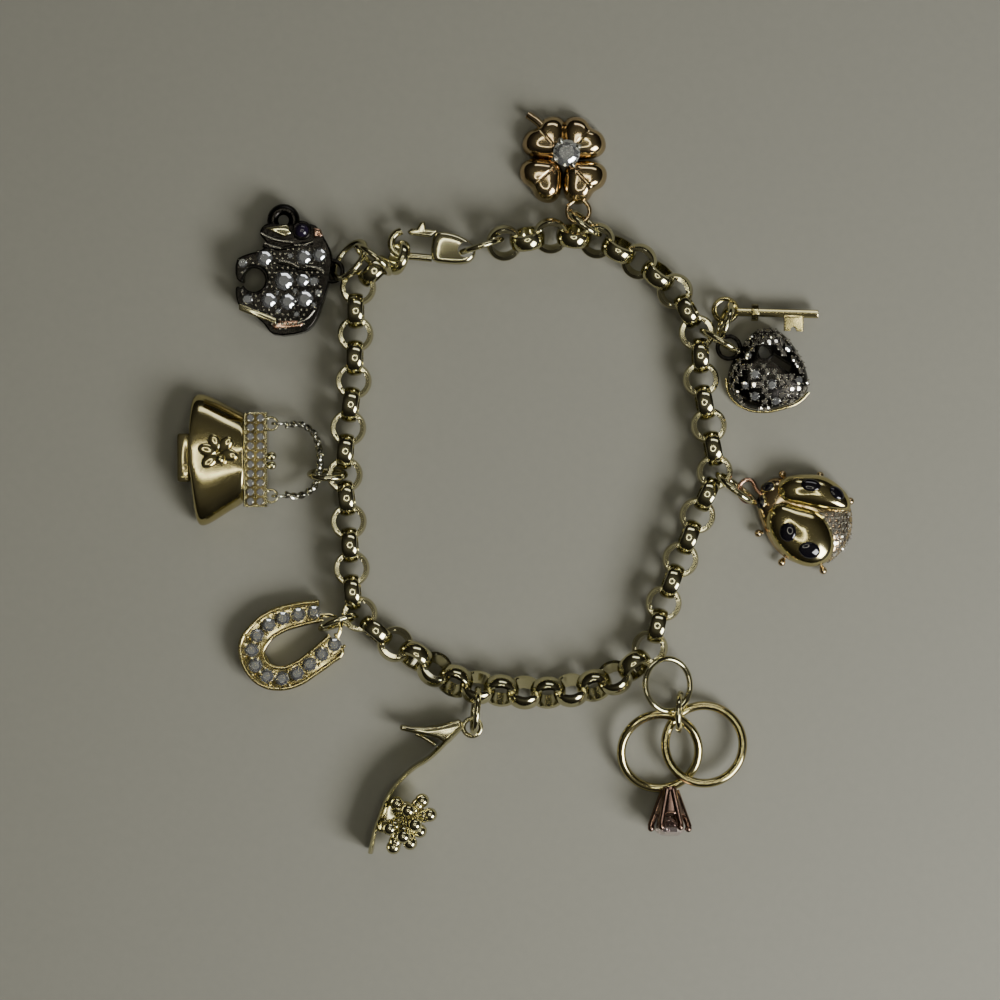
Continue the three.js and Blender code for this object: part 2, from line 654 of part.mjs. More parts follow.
function buildLadybug() {
  const place = charm(ladyAt, 2.5);
  const grow = (points) => scaled(points, ladyWide, ladyWide);
  const base = pillow(grow(ladyOutline), [[0.92, 0], [1, 0.7], [0.96, ladyBase]]);
  const head = pillow(grow([[-0.50, 0.20], [-0.44, 0.36], [-0.30, 0.42], [-0.27, 0.24], [-0.36, 0.16]]),
    dome(ladyHigh * 0.75, ladyBase), [-0.37 * ladyWide, 0.28 * ladyWide]);
  const back = pillow(grow(abdomen), dome(ladyHigh * 0.8, ladyBase + 0.4), [0.31 * ladyWide, -0.08 * ladyWide]);
  const legs = ladyLegs.map(([x, y]) => placed(ball(0.5, 6), [x * ladyWide, y * ladyWide, ladyBase * 0.6]));
  const eyes = [{ x: -0.36, y: 0.36 }, { x: -0.43, y: 0.22 }];
  const eyeTop = ladyHigh * 0.75;
  const sockets = eyes.map(({ x, y }) => placed(rod(0.72, 1.6, 8), [x * ladyWide, y * ladyWide, eyeTop - 0.8]));
  const holes = eyes.map(({ x, y }) => placed(rod(0.5, 1.6, 8), [x * ladyWide, y * ladyWide, eyeTop + 0.3]));
  const bail = tube([
    [-0.46 * ladyWide, 0.34 * ladyWide, 1.2], [-0.54 * ladyWide, 0.46 * ladyWide, 1.2],
    [-0.645 * ladyWide, 0.40 * ladyWide, 1.2], [-0.62 * ladyWide, 0.27 * ladyWide, 1.2],
    [-0.48 * ladyWide, 0.22 * ladyWide, 1.2],
  ], bailWire / 2, 5, 9);
  const whole = cut(join([base, head, back, bail, ...legs, ...sockets]), holes);
  add('ladybug_body', whole, 'gold', place);
  eyes.forEach(({ x, y }, i) => {
    const eye = pillow(polygon(0.5 - stoneGap, 8), dome(0.75, 0.35));
    add(`ladybug_eye_${i + 1}`, placed(eye, [x * ladyWide, y * ladyWide, eyeTop - 0.5 + stoneGap]),
      'darkStone', place);
  });

  const wingHigh = ladyHigh - ladyBase - gap;
  const wings = [
    { side: 'upper', points: wingUpper, middle: [0.08, 0.31] },
    { side: 'lower', points: wingLower, middle: [-0.08, -0.10] },
  ];
  for (const { side, points, middle } of wings) {
    const shell = pillow(grow(points), dome(wingHigh, 0.5), middle.map((m) => m * ladyWide));
    const spots = ladySpots.filter((spot) => spot.wing === side);
    const pockets = spots.map(({ x, y, size }) => placed(
      rod((ladySpot * size) / 2 + stoneGap, 3, 10), [x * ladyWide, y * ladyWide, wingHigh * 0.45 + 1.5]));
    const wing = placed(cut(shell, pockets), [0, 0, ladyBase + gap]);
    add(`ladybug_wing_${side}`, wing, 'gold', place);
    spots.forEach(({ x, y, size }, i) => {
      const spot = pillow(polygon((ladySpot * size) / 2, 10), dome(wingHigh * 0.62, wingHigh * 0.35));
      const level = ladyBase + gap + wingHigh * 0.45 + stoneGap;
      add(`ladybug_spot_${side}_${i + 1}`, placed(spot, [x * ladyWide, y * ladyWide, level]), 'darkStone', place);
    });
  }
}

// Heart padlock, and the key that hangs with it.
const heartOutline = [
  [-0.28, 0.23], [-0.20, 0.41], [-0.03, 0.49], [0.15, 0.44], [0.29, 0.31], [0.40, 0.12], [0.49, -0.12], [0.49, -0.30],
  [0.36, -0.41], [0.15, -0.48], [-0.08, -0.50], [-0.29, -0.43], [-0.44, -0.27], [-0.48, -0.08], [-0.42, 0.10],
];
const heartStones = [
  { x: 0.02, y: -0.20, size: 1.1 }, { x: 0.06, y: -0.36, size: 1.0 }, { x: 0.33, y: -0.16, size: 1.0 },
  { x: -0.17, y: -0.06, size: 1.0 }, { x: -0.19, y: -0.30, size: 0.95 }, { x: -0.32, y: -0.12, size: 0.8 },
  { x: 0.15, y: 0.28, size: 0.9 },
];

function buildPadlock() {
  const place = charm(heartAt, 2.75);
  const shell = pillow(scaled(heartOutline, heartWide, heartWide),
    [[0.9, 0], [1, 1.2], [0.86, heartThick * 0.8], [0.5, heartThick * 0.97], [0, heartThick]],
    [0, -0.04 * heartWide]);
  const stones = heartStones.map(({ x, y, size }) => {
    const away = Math.hypot(x, y) / 0.5;
    const level = heartThick * (0.99 - 0.24 * away ** 3);
    return setStone(heartStone * size, x * heartWide, y * heartWide, level);
  });
  const bail = ring({
    at: [-0.43 * heartWide, 0.26 * heartWide, heartThick * 0.3],
    outer: 3.6, wire: bailWire, lean: 0, sides: 10,
  });
  const hole = placed(rod(keyholeBore / 2, heartThick * 3, 10), [0, 0.12 * heartWide, heartThick / 2]);
  const slot = new THREE.BoxGeometry(2.9, 1.0, heartThick * 3).rotateZ(rad(-35));
  const whole = cut(join([shell, bail, ...stones]), [
    hole, slot.translate(0.11 * heartWide, 0.04 * heartWide, heartThick / 2)]);
  add('heart_padlock', whole, 'blackRhodium', place);

  const bit = charm(keyAt, -1.5);
  const level = 1.4;
  const shaft = bar([-keyLength * 0.27, 0, level], [keyLength * 0.5, 0, level], keyShaft / 2, 8);
  const collar = placed(rod(1.15, 0.9, 10).rotateY(Math.PI / 2), [-keyLength * 0.10, 0, level]);
  const teeth = [
    new THREE.BoxGeometry(2.6, 1.5, 0.9).translate(keyLength * 0.27, -1.0, level),
    new THREE.BoxGeometry(0.9, 0.8, 0.9).translate(keyLength * 0.27 - 0.85, -2.0, level),
    new THREE.BoxGeometry(0.9, 0.8, 0.9).translate(keyLength * 0.27 + 0.85, -2.0, level),
  ];
  const bow = ring({ at: [-keyLength * 0.38, 0.2, level], outer: 3.9, wire: 0.75, sides: 12 });
  add('key', join([shaft, collar, bow, ...teeth]), 'gold', bit);
}

// Four-leaf clover with a stone set in its middle.
const cloverLeaf = [
  [0, 0.04], [0.26, 0.30], [0.48, 0.56], [0.46, 0.82], [0.28, 0.98], [0.08, 0.96], [0, 0.86],
  [-0.08, 0.96], [-0.28, 0.98], [-0.46, 0.82], [-0.48, 0.56], [-0.26, 0.30],
];
const leafTurns = [48, 127, 218, 312];

function buildClover() {
  const place = charm(cloverAt, 2);
  const reach = leafWide * 0.93;
  const parts = leafTurns.map((turn) => {
    const leaf = pillow(scaled(cloverLeaf, leafWide * 1.02, reach), dome(leafHigh, 0.5), [0, reach * 0.62]);
    return leaf.rotateZ(rad(turn - 90));
  });
  const stoneAt = [0.3, 0.6];
  parts.push(placed(rod(1.5, leafHigh * 0.9, 8), [0, 0, leafHigh * 0.45]));
  parts.push(tube([
    [-0.6, 1.6, leafHigh * 0.45], [-2.0, 3.6, leafHigh * 0.45], [-3.6, 5.2, leafHigh * 0.4], [-4.6, 6.3, leafHigh * 0.3],
  ], 0.75, 6, 6));
  const seat = leafHigh * 0.85;
  parts.push(placed(rod(cloverStone * 0.3, 1.6, 10, cloverStone * 0.5 + 0.3), [...stoneAt, seat + 0.5]));
  for (let i = 0; i < 4; i += 1) {
    const angle = rad(25 + i * 90);
    const away = cloverStone / 2 + stoneGap + 0.1;
    parts.push(placed(rod(0.25, 2.0, 6), [
      stoneAt[0] + away * Math.cos(angle), stoneAt[1] + away * Math.sin(angle), seat + 1.0]));
  }
  parts.push(ring({ at: [1.7, -6.9, 1.3], outer: 3.6, wire: bailWire, lean: 0, sides: 10 }));
  const stone = placed(cutStone(cloverStone), [...stoneAt, seat + 1.35 + cloverStone * 0.4]);
  const seatCut = placed(cutStone(cloverStone + stoneGap * 2), [...stoneAt, seat + 1.35 + cloverStone * 0.4]);
  add('clover_body', cut(join(parts), [seatCut]), 'gold', place);
  add('clover_stone', stone, 'clearStone', place);
}

// Rings that carry the charms and join the clasp.
const jumpRings = [
  { name: 'clasp_jump_ring', at: [-5.0, 31.75, 3.25], outer: 6.4, lean: 85, towards: 108 },
  { name: 'elephant_ring_lower', at: [-22.7, 29.85, 3.25], outer: 6.6, lean: 121, towards: -37 },
  { name: 'elephant_ring_upper', at: [-19.5, 29.8, 4.25], outer: 6.4, lean: 98, towards: 52 },
  { name: 'bag_jump_ring', at: [-25.65, 1.15, 2.9], outer: 5.6, lean: 77, towards: 89 },
  { name: 'horseshoe_jump_ring', at: [-24.2, -18.65, 2.95], outer: 5.8, lean: 99, towards: 110 },
  { name: 'mule_jump_ring', at: [-5.85, -30.45, 3.75], outer: 6.6, lean: 95, towards: -6 },
  { name: 'rings_bail', at: [21.55, -30.65, 3.0], outer: 5.8, lean: 81, towards: -1.5 },
  { name: 'rings_jump_ring', at: [19.85, -26.95, 4.05], outer: 7.8, lean: 29, towards: 12 },
  { name: 'ladybug_jump_ring', at: [29.05, -0.7, 3.35], outer: 7.0, lean: 80, towards: 53 },
  { name: 'padlock_jump_ring', at: [26.9, 18.95, 3.2], outer: 6.4, lean: 88, towards: 60 },
  { name: 'key_jump_ring', at: [27.45, 21.45, 2.9], outer: 5.7, lean: 97, towards: -19 },
  { name: 'clover_jump_ring', at: [8.8, 34.85, 2.9], outer: 5.8, lean: 104, towards: -128 },
];

function buildJumpRings() {
  for (const { name, ...pose } of jumpRings) add(name, ring({ wire: ringWire, ...pose }), 'paleGold');
}

buildChain();
buildClasp();
buildElephant();
buildBag();
buildHorseshoe();
buildMule();
buildRings();
buildLadybug();
buildPadlock();
buildClover();
buildJumpRings();

// The origin is the middle of the bracelet's extent, on the table.
const extent = new THREE.Box3().setFromObject(bracelet, true);
const middle = extent.getCenter(new THREE.Vector3());
bracelet.position.set(-middle.x, -middle.y, -extent.min.z);

export default bracelet;
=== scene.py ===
# Charm bracelet in polished gold: belcher chain, lobster clasp and eight charms on a pale mat.
# Pieces are shaped in millimetres where they lie, then set down in metres.
import json
import math
import bpy
from mathutils import Matrix, Vector


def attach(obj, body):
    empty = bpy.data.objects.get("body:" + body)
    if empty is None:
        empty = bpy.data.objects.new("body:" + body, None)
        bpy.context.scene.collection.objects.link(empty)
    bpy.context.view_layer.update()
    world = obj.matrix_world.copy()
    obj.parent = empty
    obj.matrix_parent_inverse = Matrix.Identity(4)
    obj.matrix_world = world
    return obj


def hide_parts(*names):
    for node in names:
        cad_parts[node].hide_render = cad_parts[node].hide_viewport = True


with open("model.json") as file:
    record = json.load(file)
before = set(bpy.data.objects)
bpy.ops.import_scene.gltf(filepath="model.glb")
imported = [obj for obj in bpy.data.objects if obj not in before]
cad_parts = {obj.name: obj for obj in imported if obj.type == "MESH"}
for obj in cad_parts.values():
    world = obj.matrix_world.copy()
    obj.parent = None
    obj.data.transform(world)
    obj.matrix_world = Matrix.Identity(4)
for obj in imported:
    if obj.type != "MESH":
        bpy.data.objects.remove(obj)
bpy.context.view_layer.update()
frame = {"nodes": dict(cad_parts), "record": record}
bpy.ops.object.select_all(action="DESELECT")

MM = 0.001
TABLE_SHIFT = Vector((0.611, -0.116, 0.097))
SLOT_OF = {part["node"]: part["material_slot"] for part in frame["record"]["subparts"]}
UP = Vector((0, 0, 1))


# Materials: each is the real one's name, its colour as hex, and how its surface was made.
def linear(hex_colour):
    parts = [int(hex_colour[i:i + 2], 16) / 255 for i in (1, 3, 5)]
    return [c / 12.92 if c <= 0.04045 else ((c + 0.055) / 1.055) ** 2.4 for c in parts] + [1.0]


def add_node(tree, kind, settings=None, inputs=None, links=None):
    node = tree.nodes.new(kind)
    for key, value in (settings or {}).items():
        setattr(node, key, value)
    for key, value in (inputs or {}).items():
        node.inputs[key].default_value = value
    for key, output in (links or {}).items():
        tree.links.new(output, node.inputs[key])
    return node


# Polished metal: a soft cloudiness of hand polishing, and casting grain where it is asked for.
def polished_metal(name, light, deep, roughness, cloud_mm=2.5, grain_mm=0.0, grain=0.0):
    material = bpy.data.materials.new(name)
    material.use_nodes = True
    tree = material.node_tree
    shader = tree.nodes["Principled BSDF"]
    shader.inputs["Metallic"].default_value = 1.0
    place = add_node(tree, "ShaderNodeTexCoord").outputs["Object"]
    cloud = add_node(tree, "ShaderNodeTexNoise", inputs={"Scale": 1 / (cloud_mm * MM), "Detail": 3.0},
                     links={"Vector": place})
    tone = add_node(tree, "ShaderNodeMix", {"data_type": "RGBA"}, links={"Factor": cloud.outputs["Fac"]})
    tone.inputs["A"].default_value = linear(light)
    tone.inputs["B"].default_value = linear(deep)
    tree.links.new(tone.outputs["Result"], shader.inputs["Base Color"])
    wear = add_node(tree, "ShaderNodeMapRange", links={"Value": cloud.outputs["Fac"]},
                    inputs={"To Min": roughness * 0.75, "To Max": roughness * 1.35})
    tree.links.new(wear.outputs["Result"], shader.inputs["Roughness"])
    if grain > 0:
        pits = add_node(tree, "ShaderNodeTexNoise", inputs={"Scale": 1 / (grain_mm * MM), "Detail": 2.0},
                        links={"Vector": place})
        bump = add_node(tree, "ShaderNodeBump", inputs={"Strength": grain, "Distance": 0.05 * MM},
                        links={"Height": pits.outputs["Fac"]})
        tree.links.new(bump.outputs["Normal"], shader.inputs["Normal"])
    return material


# Cut stone: clear and sharp, with the light that its back facets throw up again.
def cut_stone(name, colour, clear, ior, fire=0.0):
    material = bpy.data.materials.new(name)
    material.use_nodes = True
    shader = material.node_tree.nodes["Principled BSDF"]
    shader.inputs["Base Color"].default_value = linear(colour)
    shader.inputs["Transmission Weight"].default_value = clear
    shader.inputs["Metallic"].default_value = fire
    shader.inputs["Roughness"].default_value = 0.03
    shader.inputs["IOR"].default_value = ior
    return material


# Chain, clasp, rings and mule: pale, nearly greenish gold that shows dark and bright by turns.
PALE_GOLD = polished_metal("14k pale yellow gold, polished", "#d2cda9", "#b3ad85", 0.12)
# Bag, horseshoe, bands and wing cases: the warmer gold, with the same wet shine.
YELLOW_GOLD = polished_metal("14k yellow gold, polished", "#cfc596", "#ada16c", 0.13)
# The fold of the bag and the field between its frame stones: the same gold painted darker, a painted shadow
# line in the fold and painted shade between the stones.
SHADE_DARKENED_GOLD = polished_metal("14k yellow gold, darkened as painted shade", "#8a7c4c", "#5f5430", 0.35, 2.5, 0.3, 0.4)
# Clover and ladybug shell: yellow gold that runs to pink in patches.
BLUSHED_GOLD = polished_metal("14k gold with a rose blush", "#cfc394", "#b18f73", 0.13, 4.0)
# Elephant's cheek and strap, ladybug's bail: pink gold.
ROSE_GOLD = polished_metal("14k rose gold, polished", "#c9a890", "#9a7461", 0.17)
# The solitaire's basket: brown pink, dull in its corners.
OXIDISED_ROSE = polished_metal("rose gold, darkened in its corners", "#9c8070", "#55423a", 0.2, 1.2)
# Elephant and heart: a near black metal with the grain of the casting.
BLACK_RHODIUM = polished_metal("black rhodium plate, cast", "#33312e", "#141312", 0.24, 0.9, 0.35, 0.5)
# Beads and ridges of the black pieces: grey instead of black, a painted glint on each raised bead and ridge.
GLINT_GREY_RHODIUM = polished_metal("black rhodium, lightened for painted glints", "#a3a097", "#5c5a53", 0.2, 1.0)
# Rope handle and claws: whiter and colder than the gold.
WHITE_GOLD = polished_metal("rhodium white gold, polished", "#d6d5c8", "#a9a89c", 0.15)
# Stones: white, champagne and faint pink, each with hard glints from its facets.
CLEAR_STONE = cut_stone("cubic zirconia, colourless", "#f8fbfd", 0.8, 2.15, 0.6)
SMOKE_STONE = cut_stone("cubic zirconia, champagne grey", "#e2ddd0", 0.8, 2.1, 0.6)
PINK_STONE = cut_stone("cubic zirconia, faint pink", "#f7e8e4", 0.85, 2.1, 0.6)
# Spots and eyes: glossy black and dark violet domes with one clean highlight.
ENAMEL = cut_stone("black enamel, domed", "#0d0b10", 0.0, 1.55)
SAPPHIRE = cut_stone("dark violet glass, domed", "#1b1426", 0.0, 1.6)

MATERIAL_OF = {
    "pale_gold": PALE_GOLD, "yellow_gold": YELLOW_GOLD, "rose_gold": ROSE_GOLD,
    "black_rhodium": BLACK_RHODIUM, "clear_stone": CLEAR_STONE, "dark_stone": ENAMEL,
}
for node_name, cad_node in frame["nodes"].items():
    cad_node.data.materials.clear()
    cad_node.data.materials.append(MATERIAL_OF[SLOT_OF[node_name]])


# Bench work: small helpers for shapes in millimetres.
def fresh(name):
    shape = bpy.context.view_layer.objects.active
    shape.name = name
    bpy.ops.object.transform_apply(location=True, rotation=True, scale=True)
    return shape


def pick(shape):
    bpy.ops.object.select_all(action="DESELECT")
    shape.select_set(True)
    bpy.context.view_layer.objects.active = shape
    return shape


def apply_modifier(shape, kind, **settings):
    pick(shape)
    modifier = shape.modifiers.new(kind.lower(), kind)
    for key, value in settings.items():
        setattr(modifier, key, value)
    bpy.ops.object.modifier_apply(modifier=modifier.name)
    return shape


def smoothed(shape, levels=1):
    return apply_modifier(shape, "SUBSURF", levels=levels, render_levels=levels)


def bevelled(shape, width, segments=2, limit=35):
    return apply_modifier(shape, "BEVEL", width=width, segments=segments, angle_limit=math.radians(limit))


def carved(shape, tool):
    apply_modifier(shape, "BOOLEAN", object=tool, operation="DIFFERENCE", solver="EXACT")
    bpy.data.objects.remove(tool)
    return shape


def joined(shapes):
    bpy.ops.object.select_all(action="DESELECT")
    for shape in shapes:
        shape.select_set(True)
    bpy.context.view_layer.objects.active = shapes[0]
    if len(shapes) > 1:
        bpy.ops.object.join()
    return shapes[0]


def moved(shape, matrix):
    shape.data.transform(matrix)
    return shape


def put(shape, at, turn=0.0):
    return moved(shape, Matrix.Translation(Vector(at)) @ Matrix.Rotation(math.radians(turn), 4, "Z"))


def copies(shape, matrices):
    made = []
    for matrix in matrices:
        twin = bpy.data.objects.new(shape.name, shape.data.copy())
        bpy.context.collection.objects.link(twin)
        twin.data.transform(matrix)
        made.append(twin)
    bpy.data.objects.remove(shape)
    return joined(made)


def outline_face(name, points):
    bpy.ops.mesh.primitive_circle_add(vertices=len(points), radius=1, fill_type="NGON")
    shape = fresh(name)
    for vertex, (x, y) in zip(shape.data.vertices, points):
        vertex.co = (x, y, 0)
    return shape


def edit(shape):
    pick(shape)
    bpy.ops.object.mode_set(mode="EDIT")
    bpy.ops.mesh.select_all(action="SELECT")


def done(shape):
    bpy.ops.mesh.select_all(action="SELECT")
    bpy.ops.mesh.remove_doubles(threshold=1e-5)
    bpy.ops.mesh.normals_make_consistent(inside=False)
    bpy.ops.object.mode_set(mode="OBJECT")
    return shape


# A flat plate over an outline, with softened rims.
def plate(name, points, low, high, rim=0.2, segments=3):
    shape = outline_face(name, points)
    edit(shape)
    bpy.ops.mesh.extrude_region_move(TRANSFORM_OT_translate={"value": (0, 0, high - low)})
    done(shape)
    put(shape, (0, 0, low))
    return bevelled(shape, rim, segments) if rim > 0 else shape


# A domed cast form: the outline is drawn up and in, layer by layer, then smoothed.
def cushion(name, points, layers, middle, levels=2):
    shape = outline_face(name, points)
    put(shape, (0, 0, layers[0][-1]))
    edit(shape)
    centre = (middle[0], middle[1], 0)
    here = (1.0, 1.0, layers[0][-1])
    for layer in layers:
        if layer is not layers[0]:
            bpy.ops.mesh.extrude_region_move(TRANSFORM_OT_translate={"value": (0, 0, layer[-1] - here[2])})
        along, across = layer[0], layer[-2]
        bpy.ops.transform.resize(value=(along / here[0], across / here[1], 1), center_override=centre)
        here = (along, across, layer[-1])
    done(shape)
    return smoothed(shape, levels)


def wire(name, points, radius, sides=4):
    bpy.ops.curve.primitive_bezier_curve_add()
    curve = bpy.context.view_layer.objects.active
    curve.name = name
    curve.matrix_world = Matrix.Identity(4)
    spline = curve.data.splines[0]
    spline.bezier_points.add(len(points) - 2)
    for knot, point in zip(spline.bezier_points, points):
        knot.co = point
        knot.handle_left_type = knot.handle_right_type = "AUTO"
    curve.data.resolution_u = 8
    curve.data.bevel_depth = radius
    curve.data.bevel_resolution = sides
    curve.data.use_fill_caps = True
    pick(curve)
    bpy.ops.object.convert(target="MESH")
    return bpy.context.view_layer.objects.active


def torus(name, at, outer, thick, lean=0.0, towards=0.0, around=48, across=12):
    bpy.ops.mesh.primitive_torus_add(major_radius=(outer - thick) / 2, minor_radius=thick / 2,
                                     major_segments=around, minor_segments=across)
    shape = fresh(name)
    return moved(shape, Matrix.Translation(Vector(at)) @ Matrix.Rotation(math.radians(towards), 4, "Z")
                 @ Matrix.Rotation(math.radians(lean), 4, "Y"))


def pearl(name, at, radius, squash=1.0, detail=16):
    bpy.ops.mesh.primitive_uv_sphere_add(segments=detail, ring_count=detail // 2, radius=radius)
    shape = fresh(name)
    return moved(shape, Matrix.Translation(Vector(at)) @ Matrix.Diagonal((1, 1, squash, 1)))


def rod(name, start, end, radius, end_radius=None, sides=20):
    start, end = Vector(start), Vector(end)
    run = end - start
    bpy.ops.mesh.primitive_cone_add(vertices=sides, radius1=radius, depth=run.length,
                                    radius2=radius if end_radius is None else end_radius)
    shape = fresh(name)
    turn = UP.rotation_difference(run.normalized()).to_matrix().to_4x4()
    return moved(shape, Matrix.Translation((start + end) / 2) @ turn)


def block(name, at, size, turn=0.0, rim=0.1):
    bpy.ops.mesh.primitive_cube_add(size=1)
    shape = fresh(name)
    moved(shape, Matrix.Translation(Vector(at)) @ Matrix.Rotation(math.radians(turn), 4, "Z")
          @ Matrix.Diagonal((*size, 1)))
    return bevelled(shape, rim, 2) if rim > 0 else shape


# A round brilliant: pavilion, girdle, crown and table, with eight main facets above and below.
def brilliant(name, wide, sides=16):
    r = wide / 2
    bpy.ops.mesh.primitive_cone_add(vertices=sides, radius1=0.02 * r, radius2=r, depth=0.8 * r)
    shape = fresh(name)
    edit(shape)
    bpy.ops.mesh.select_all(action="DESELECT")
    bpy.ops.object.mode_set(mode="OBJECT")
    for face in shape.data.polygons:
        face.select = face.normal.z > 0.9
    bpy.ops.object.mode_set(mode="EDIT")
    bpy.ops.mesh.extrude_region_move(TRANSFORM_OT_translate={"value": (0, 0, 0.06 * r)})
    bpy.ops.mesh.extrude_region_move(TRANSFORM_OT_translate={"value": (0, 0, 0.2 * r)})
    bpy.ops.transform.resize(value=(0.8, 0.8, 1))
    bpy.ops.transform.rotate(value=math.pi / sides, orient_axis="Z", center_override=(0, 0, 0))
    bpy.ops.mesh.extrude_region_move(TRANSFORM_OT_translate={"value": (0, 0, 0.12 * r)})
    bpy.ops.transform.resize(value=(0.7, 0.7, 1))
    done(shape)
    return put(shape, (0, 0, -0.4 * r))


# A small crown for pave work, most of it above the metal.
def pave_stone(name, wide):
    r = wide / 2
    bpy.ops.mesh.primitive_cone_add(vertices=8, radius1=r, radius2=0.58 * r, depth=0.4 * r)
    shape = fresh(name)
    edit(shape)
    bpy.ops.mesh.select_all(action="DESELECT")
    bpy.ops.object.mode_set(mode="OBJECT")
    for face in shape.data.polygons:
        face.select = face.normal.z < -0.9
    bpy.ops.object.mode_set(mode="EDIT")
    bpy.ops.mesh.extrude_region_move(TRANSFORM_OT_translate={"value": (0, 0, -0.5 * r)})
    bpy.ops.transform.resize(value=(0.3, 0.3, 1))
    done(shape)
    return put(shape, (0, 0, 0.12 * r))


# Where a downward line meets a finished piece: a place on its skin, turned to its slope.
def on_skin(surface, x, y, sink=0.0):
    hit, spot, normal, _ = surface.ray_cast(Vector((x, y, 50)), -UP)
    if not hit:
        return None
    turn = UP.rotation_difference(normal).to_matrix().to_4x4()
    return Matrix.Translation(spot - normal * sink) @ turn


def inside(points, x, y):
    crossings = 0
    for (ax, ay), (bx, by) in zip(points, points[1:] + points[:1]):
        if (ay > y) != (by > y) and x < ax + (y - ay) * (bx - ax) / (by - ay):
            crossings += 1
    return crossings % 2 == 1


# Close-packed places inside an outline, one stone's pitch apart.
def packed(points, pitch, margin=0.0):
    xs = [p[0] for p in points]
    ys = [p[1] for p in points]
    centre = (sum(xs) / len(xs), sum(ys) / len(ys))
    shrunk = [(centre[0] + (x - centre[0]) * (1 - margin), centre[1] + (y - centre[1]) * (1 - margin))
              for x, y in points]
    rows = int((max(ys) - min(ys)) / (pitch * 0.87)) + 1
    places = []
    for row in range(rows):
        y = min(ys) + (row + 0.5) * pitch * 0.87
        columns = int((max(xs) - min(xs)) / pitch) + 1
        for column in range(columns):
            x = min(xs) + (column + (0.25 if row % 2 else 0.75)) * pitch
            if inside(shrunk, x, y):
                places.append((x, y))
    return places


# The finished piece is set down in metres, given its metal, and fixed to the bracelet.
def finish_piece(shape, name, material, nodes=(), body="bracelet", smooth=40, home=None):
    if home is not None:
        moved(shape, home)
    moved(shape, Matrix.Scale(MM, 4) @ Matrix.Translation(TABLE_SHIFT))
    pick(shape)
    shape.name = name
    shape.data.materials.clear()
    shape.data.materials.append(material)
    if smooth:
        bpy.ops.object.shade_smooth_by_angle(angle=math.radians(smooth))
    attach(shape, body)
    if nodes:
        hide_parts(*nodes)
    return shape


def home_at(x, y, turn=0.0):
    return Matrix.Translation((x, y, 0)) @ Matrix.Rotation(math.radians(turn), 4, "Z")


# The chain: the line it lies along, and its half-round links.
LINK_OUTER = 4.9
LINK_BAND = 2.1
LINK_PITCH = 3.16
LINK_FUSE = 0.1
MEET_GAP = 0.24
LEFT_LINKS = 27
CHAIN_ROUTE = [
    (-19.4, 28.4), (-21.5, 26.4), (-21.9, 21.2), (-22.1, 14.7), (-22.8, 8.5), (-23.4, 2.0), (-22.9, -4.5),
    (-22.5, -10.8), (-21.9, -16.6), (-19.5, -19.6), (-14.0, -23.2), (-8.0, -26.8), (-1.9, -27.9),
    (4.1, -28.1), (9.9, -27.2), (14.8, -25.0), (17.6, -22.0), (19.2, -16.6), (21.6, -10.3), (24.0, -4.1),
    (26.2, 1.4), (25.5, 7.2), (24.4, 13.5), (24.0, 19.6), (20.9, 25.7), (15.8, 29.9), (10.5, 32.5),
    (4.9, 33.2), (-2.0, 32.2)]
CHAIN_ROLL = [(0.0, 0), (0.29, 0), (0.37, 45), (0.5, 45), (0.57, 0), (0.8, 0), (0.87, 25), (1.0, 25)]
END_LINK = {"at": (-16.15, 30.25, 2.3), "lean": 67, "towards": 162, "band": 1.4}


def route_point(points, share):
    last = len(points) - 1
    place = share * last
    first = min(int(place), last - 1)
    w = place - first
    b, c = points[first], points[first + 1]
    a = points[first - 1] if first > 0 else b * 2 - c
    d = points[first + 2] if first + 2 <= last else c * 2 - b
    ab, bc, cd = (max((q - p).length, 1e-6) ** 0.5 for p, q in ((a, b), (b, c), (c, d)))
    leave = ((b - a) / ab - (c - a) / (ab + bc) + (c - b) / bc) * bc
    arrive = ((c - b) / bc - (d - b) / (bc + cd) + (d - c) / cd) * bc
    return (b + leave * w + (c * 3 - b * 3 - leave * 2 - arrive) * w ** 2
            + (b * 2 - c * 2 + leave + arrive) * w ** 3)


def walk(points, steps=4000):
    line = [route_point(points, i / steps) for i in range(steps + 1)]
    run = [0.0]
    for here, there in zip(line, line[1:]):
        run.append(run[-1] + (there - here).length)
    return line, run


def at_length(line, run, along):
    low, high = 0, len(run) - 1
    while high - low > 1:
        mid = (low + high) // 2
        low, high = (mid, high) if run[mid] <= along else (low, mid)
    share = (along - run[low]) / (run[high] - run[low])
    return line[low].lerp(line[high], share), (line[high] - line[low]).normalized()


def roll_at(share):
    for (a, low), (b, high) in zip(CHAIN_ROLL, CHAIN_ROLL[1:]):
        if share <= b:
            return low + (high - low) * (share - a) / (b - a)
    return CHAIN_ROLL[-1][1]


def rest_height(roll, bore):
    s, c = abs(math.sin(math.radians(roll))), abs(math.cos(math.radians(roll)))
    edge = (bore + 0.62 * (LINK_OUTER - bore)) / 2
    return max(LINK_OUTER / 2 * s, edge * s + LINK_BAND / 2 * c)


# One link: a ring drawn out to a broad band, pressed flat inside.
def belcher_link(bore, band):
    wall = (LINK_OUTER - bore) / 2
    middle = (LINK_OUTER + bore) / 4
    bpy.ops.mesh.primitive_torus_add(major_radius=middle, minor_radius=wall / 2, major_segments=56,
                                     minor_segments=20)
    link = fresh("belcher_link")
    edit(link)
    bpy.ops.transform.resize(value=(1, 1, band / wall))
    done(link)
    flat = bore / 2 + 0.06
    for vertex in link.data.vertices:
        reach = math.hypot(vertex.co.x, vertex.co.y)
        if reach < middle:
            press = flat / reach
            vertex.co.x *= press
            vertex.co.y *= press
    return link


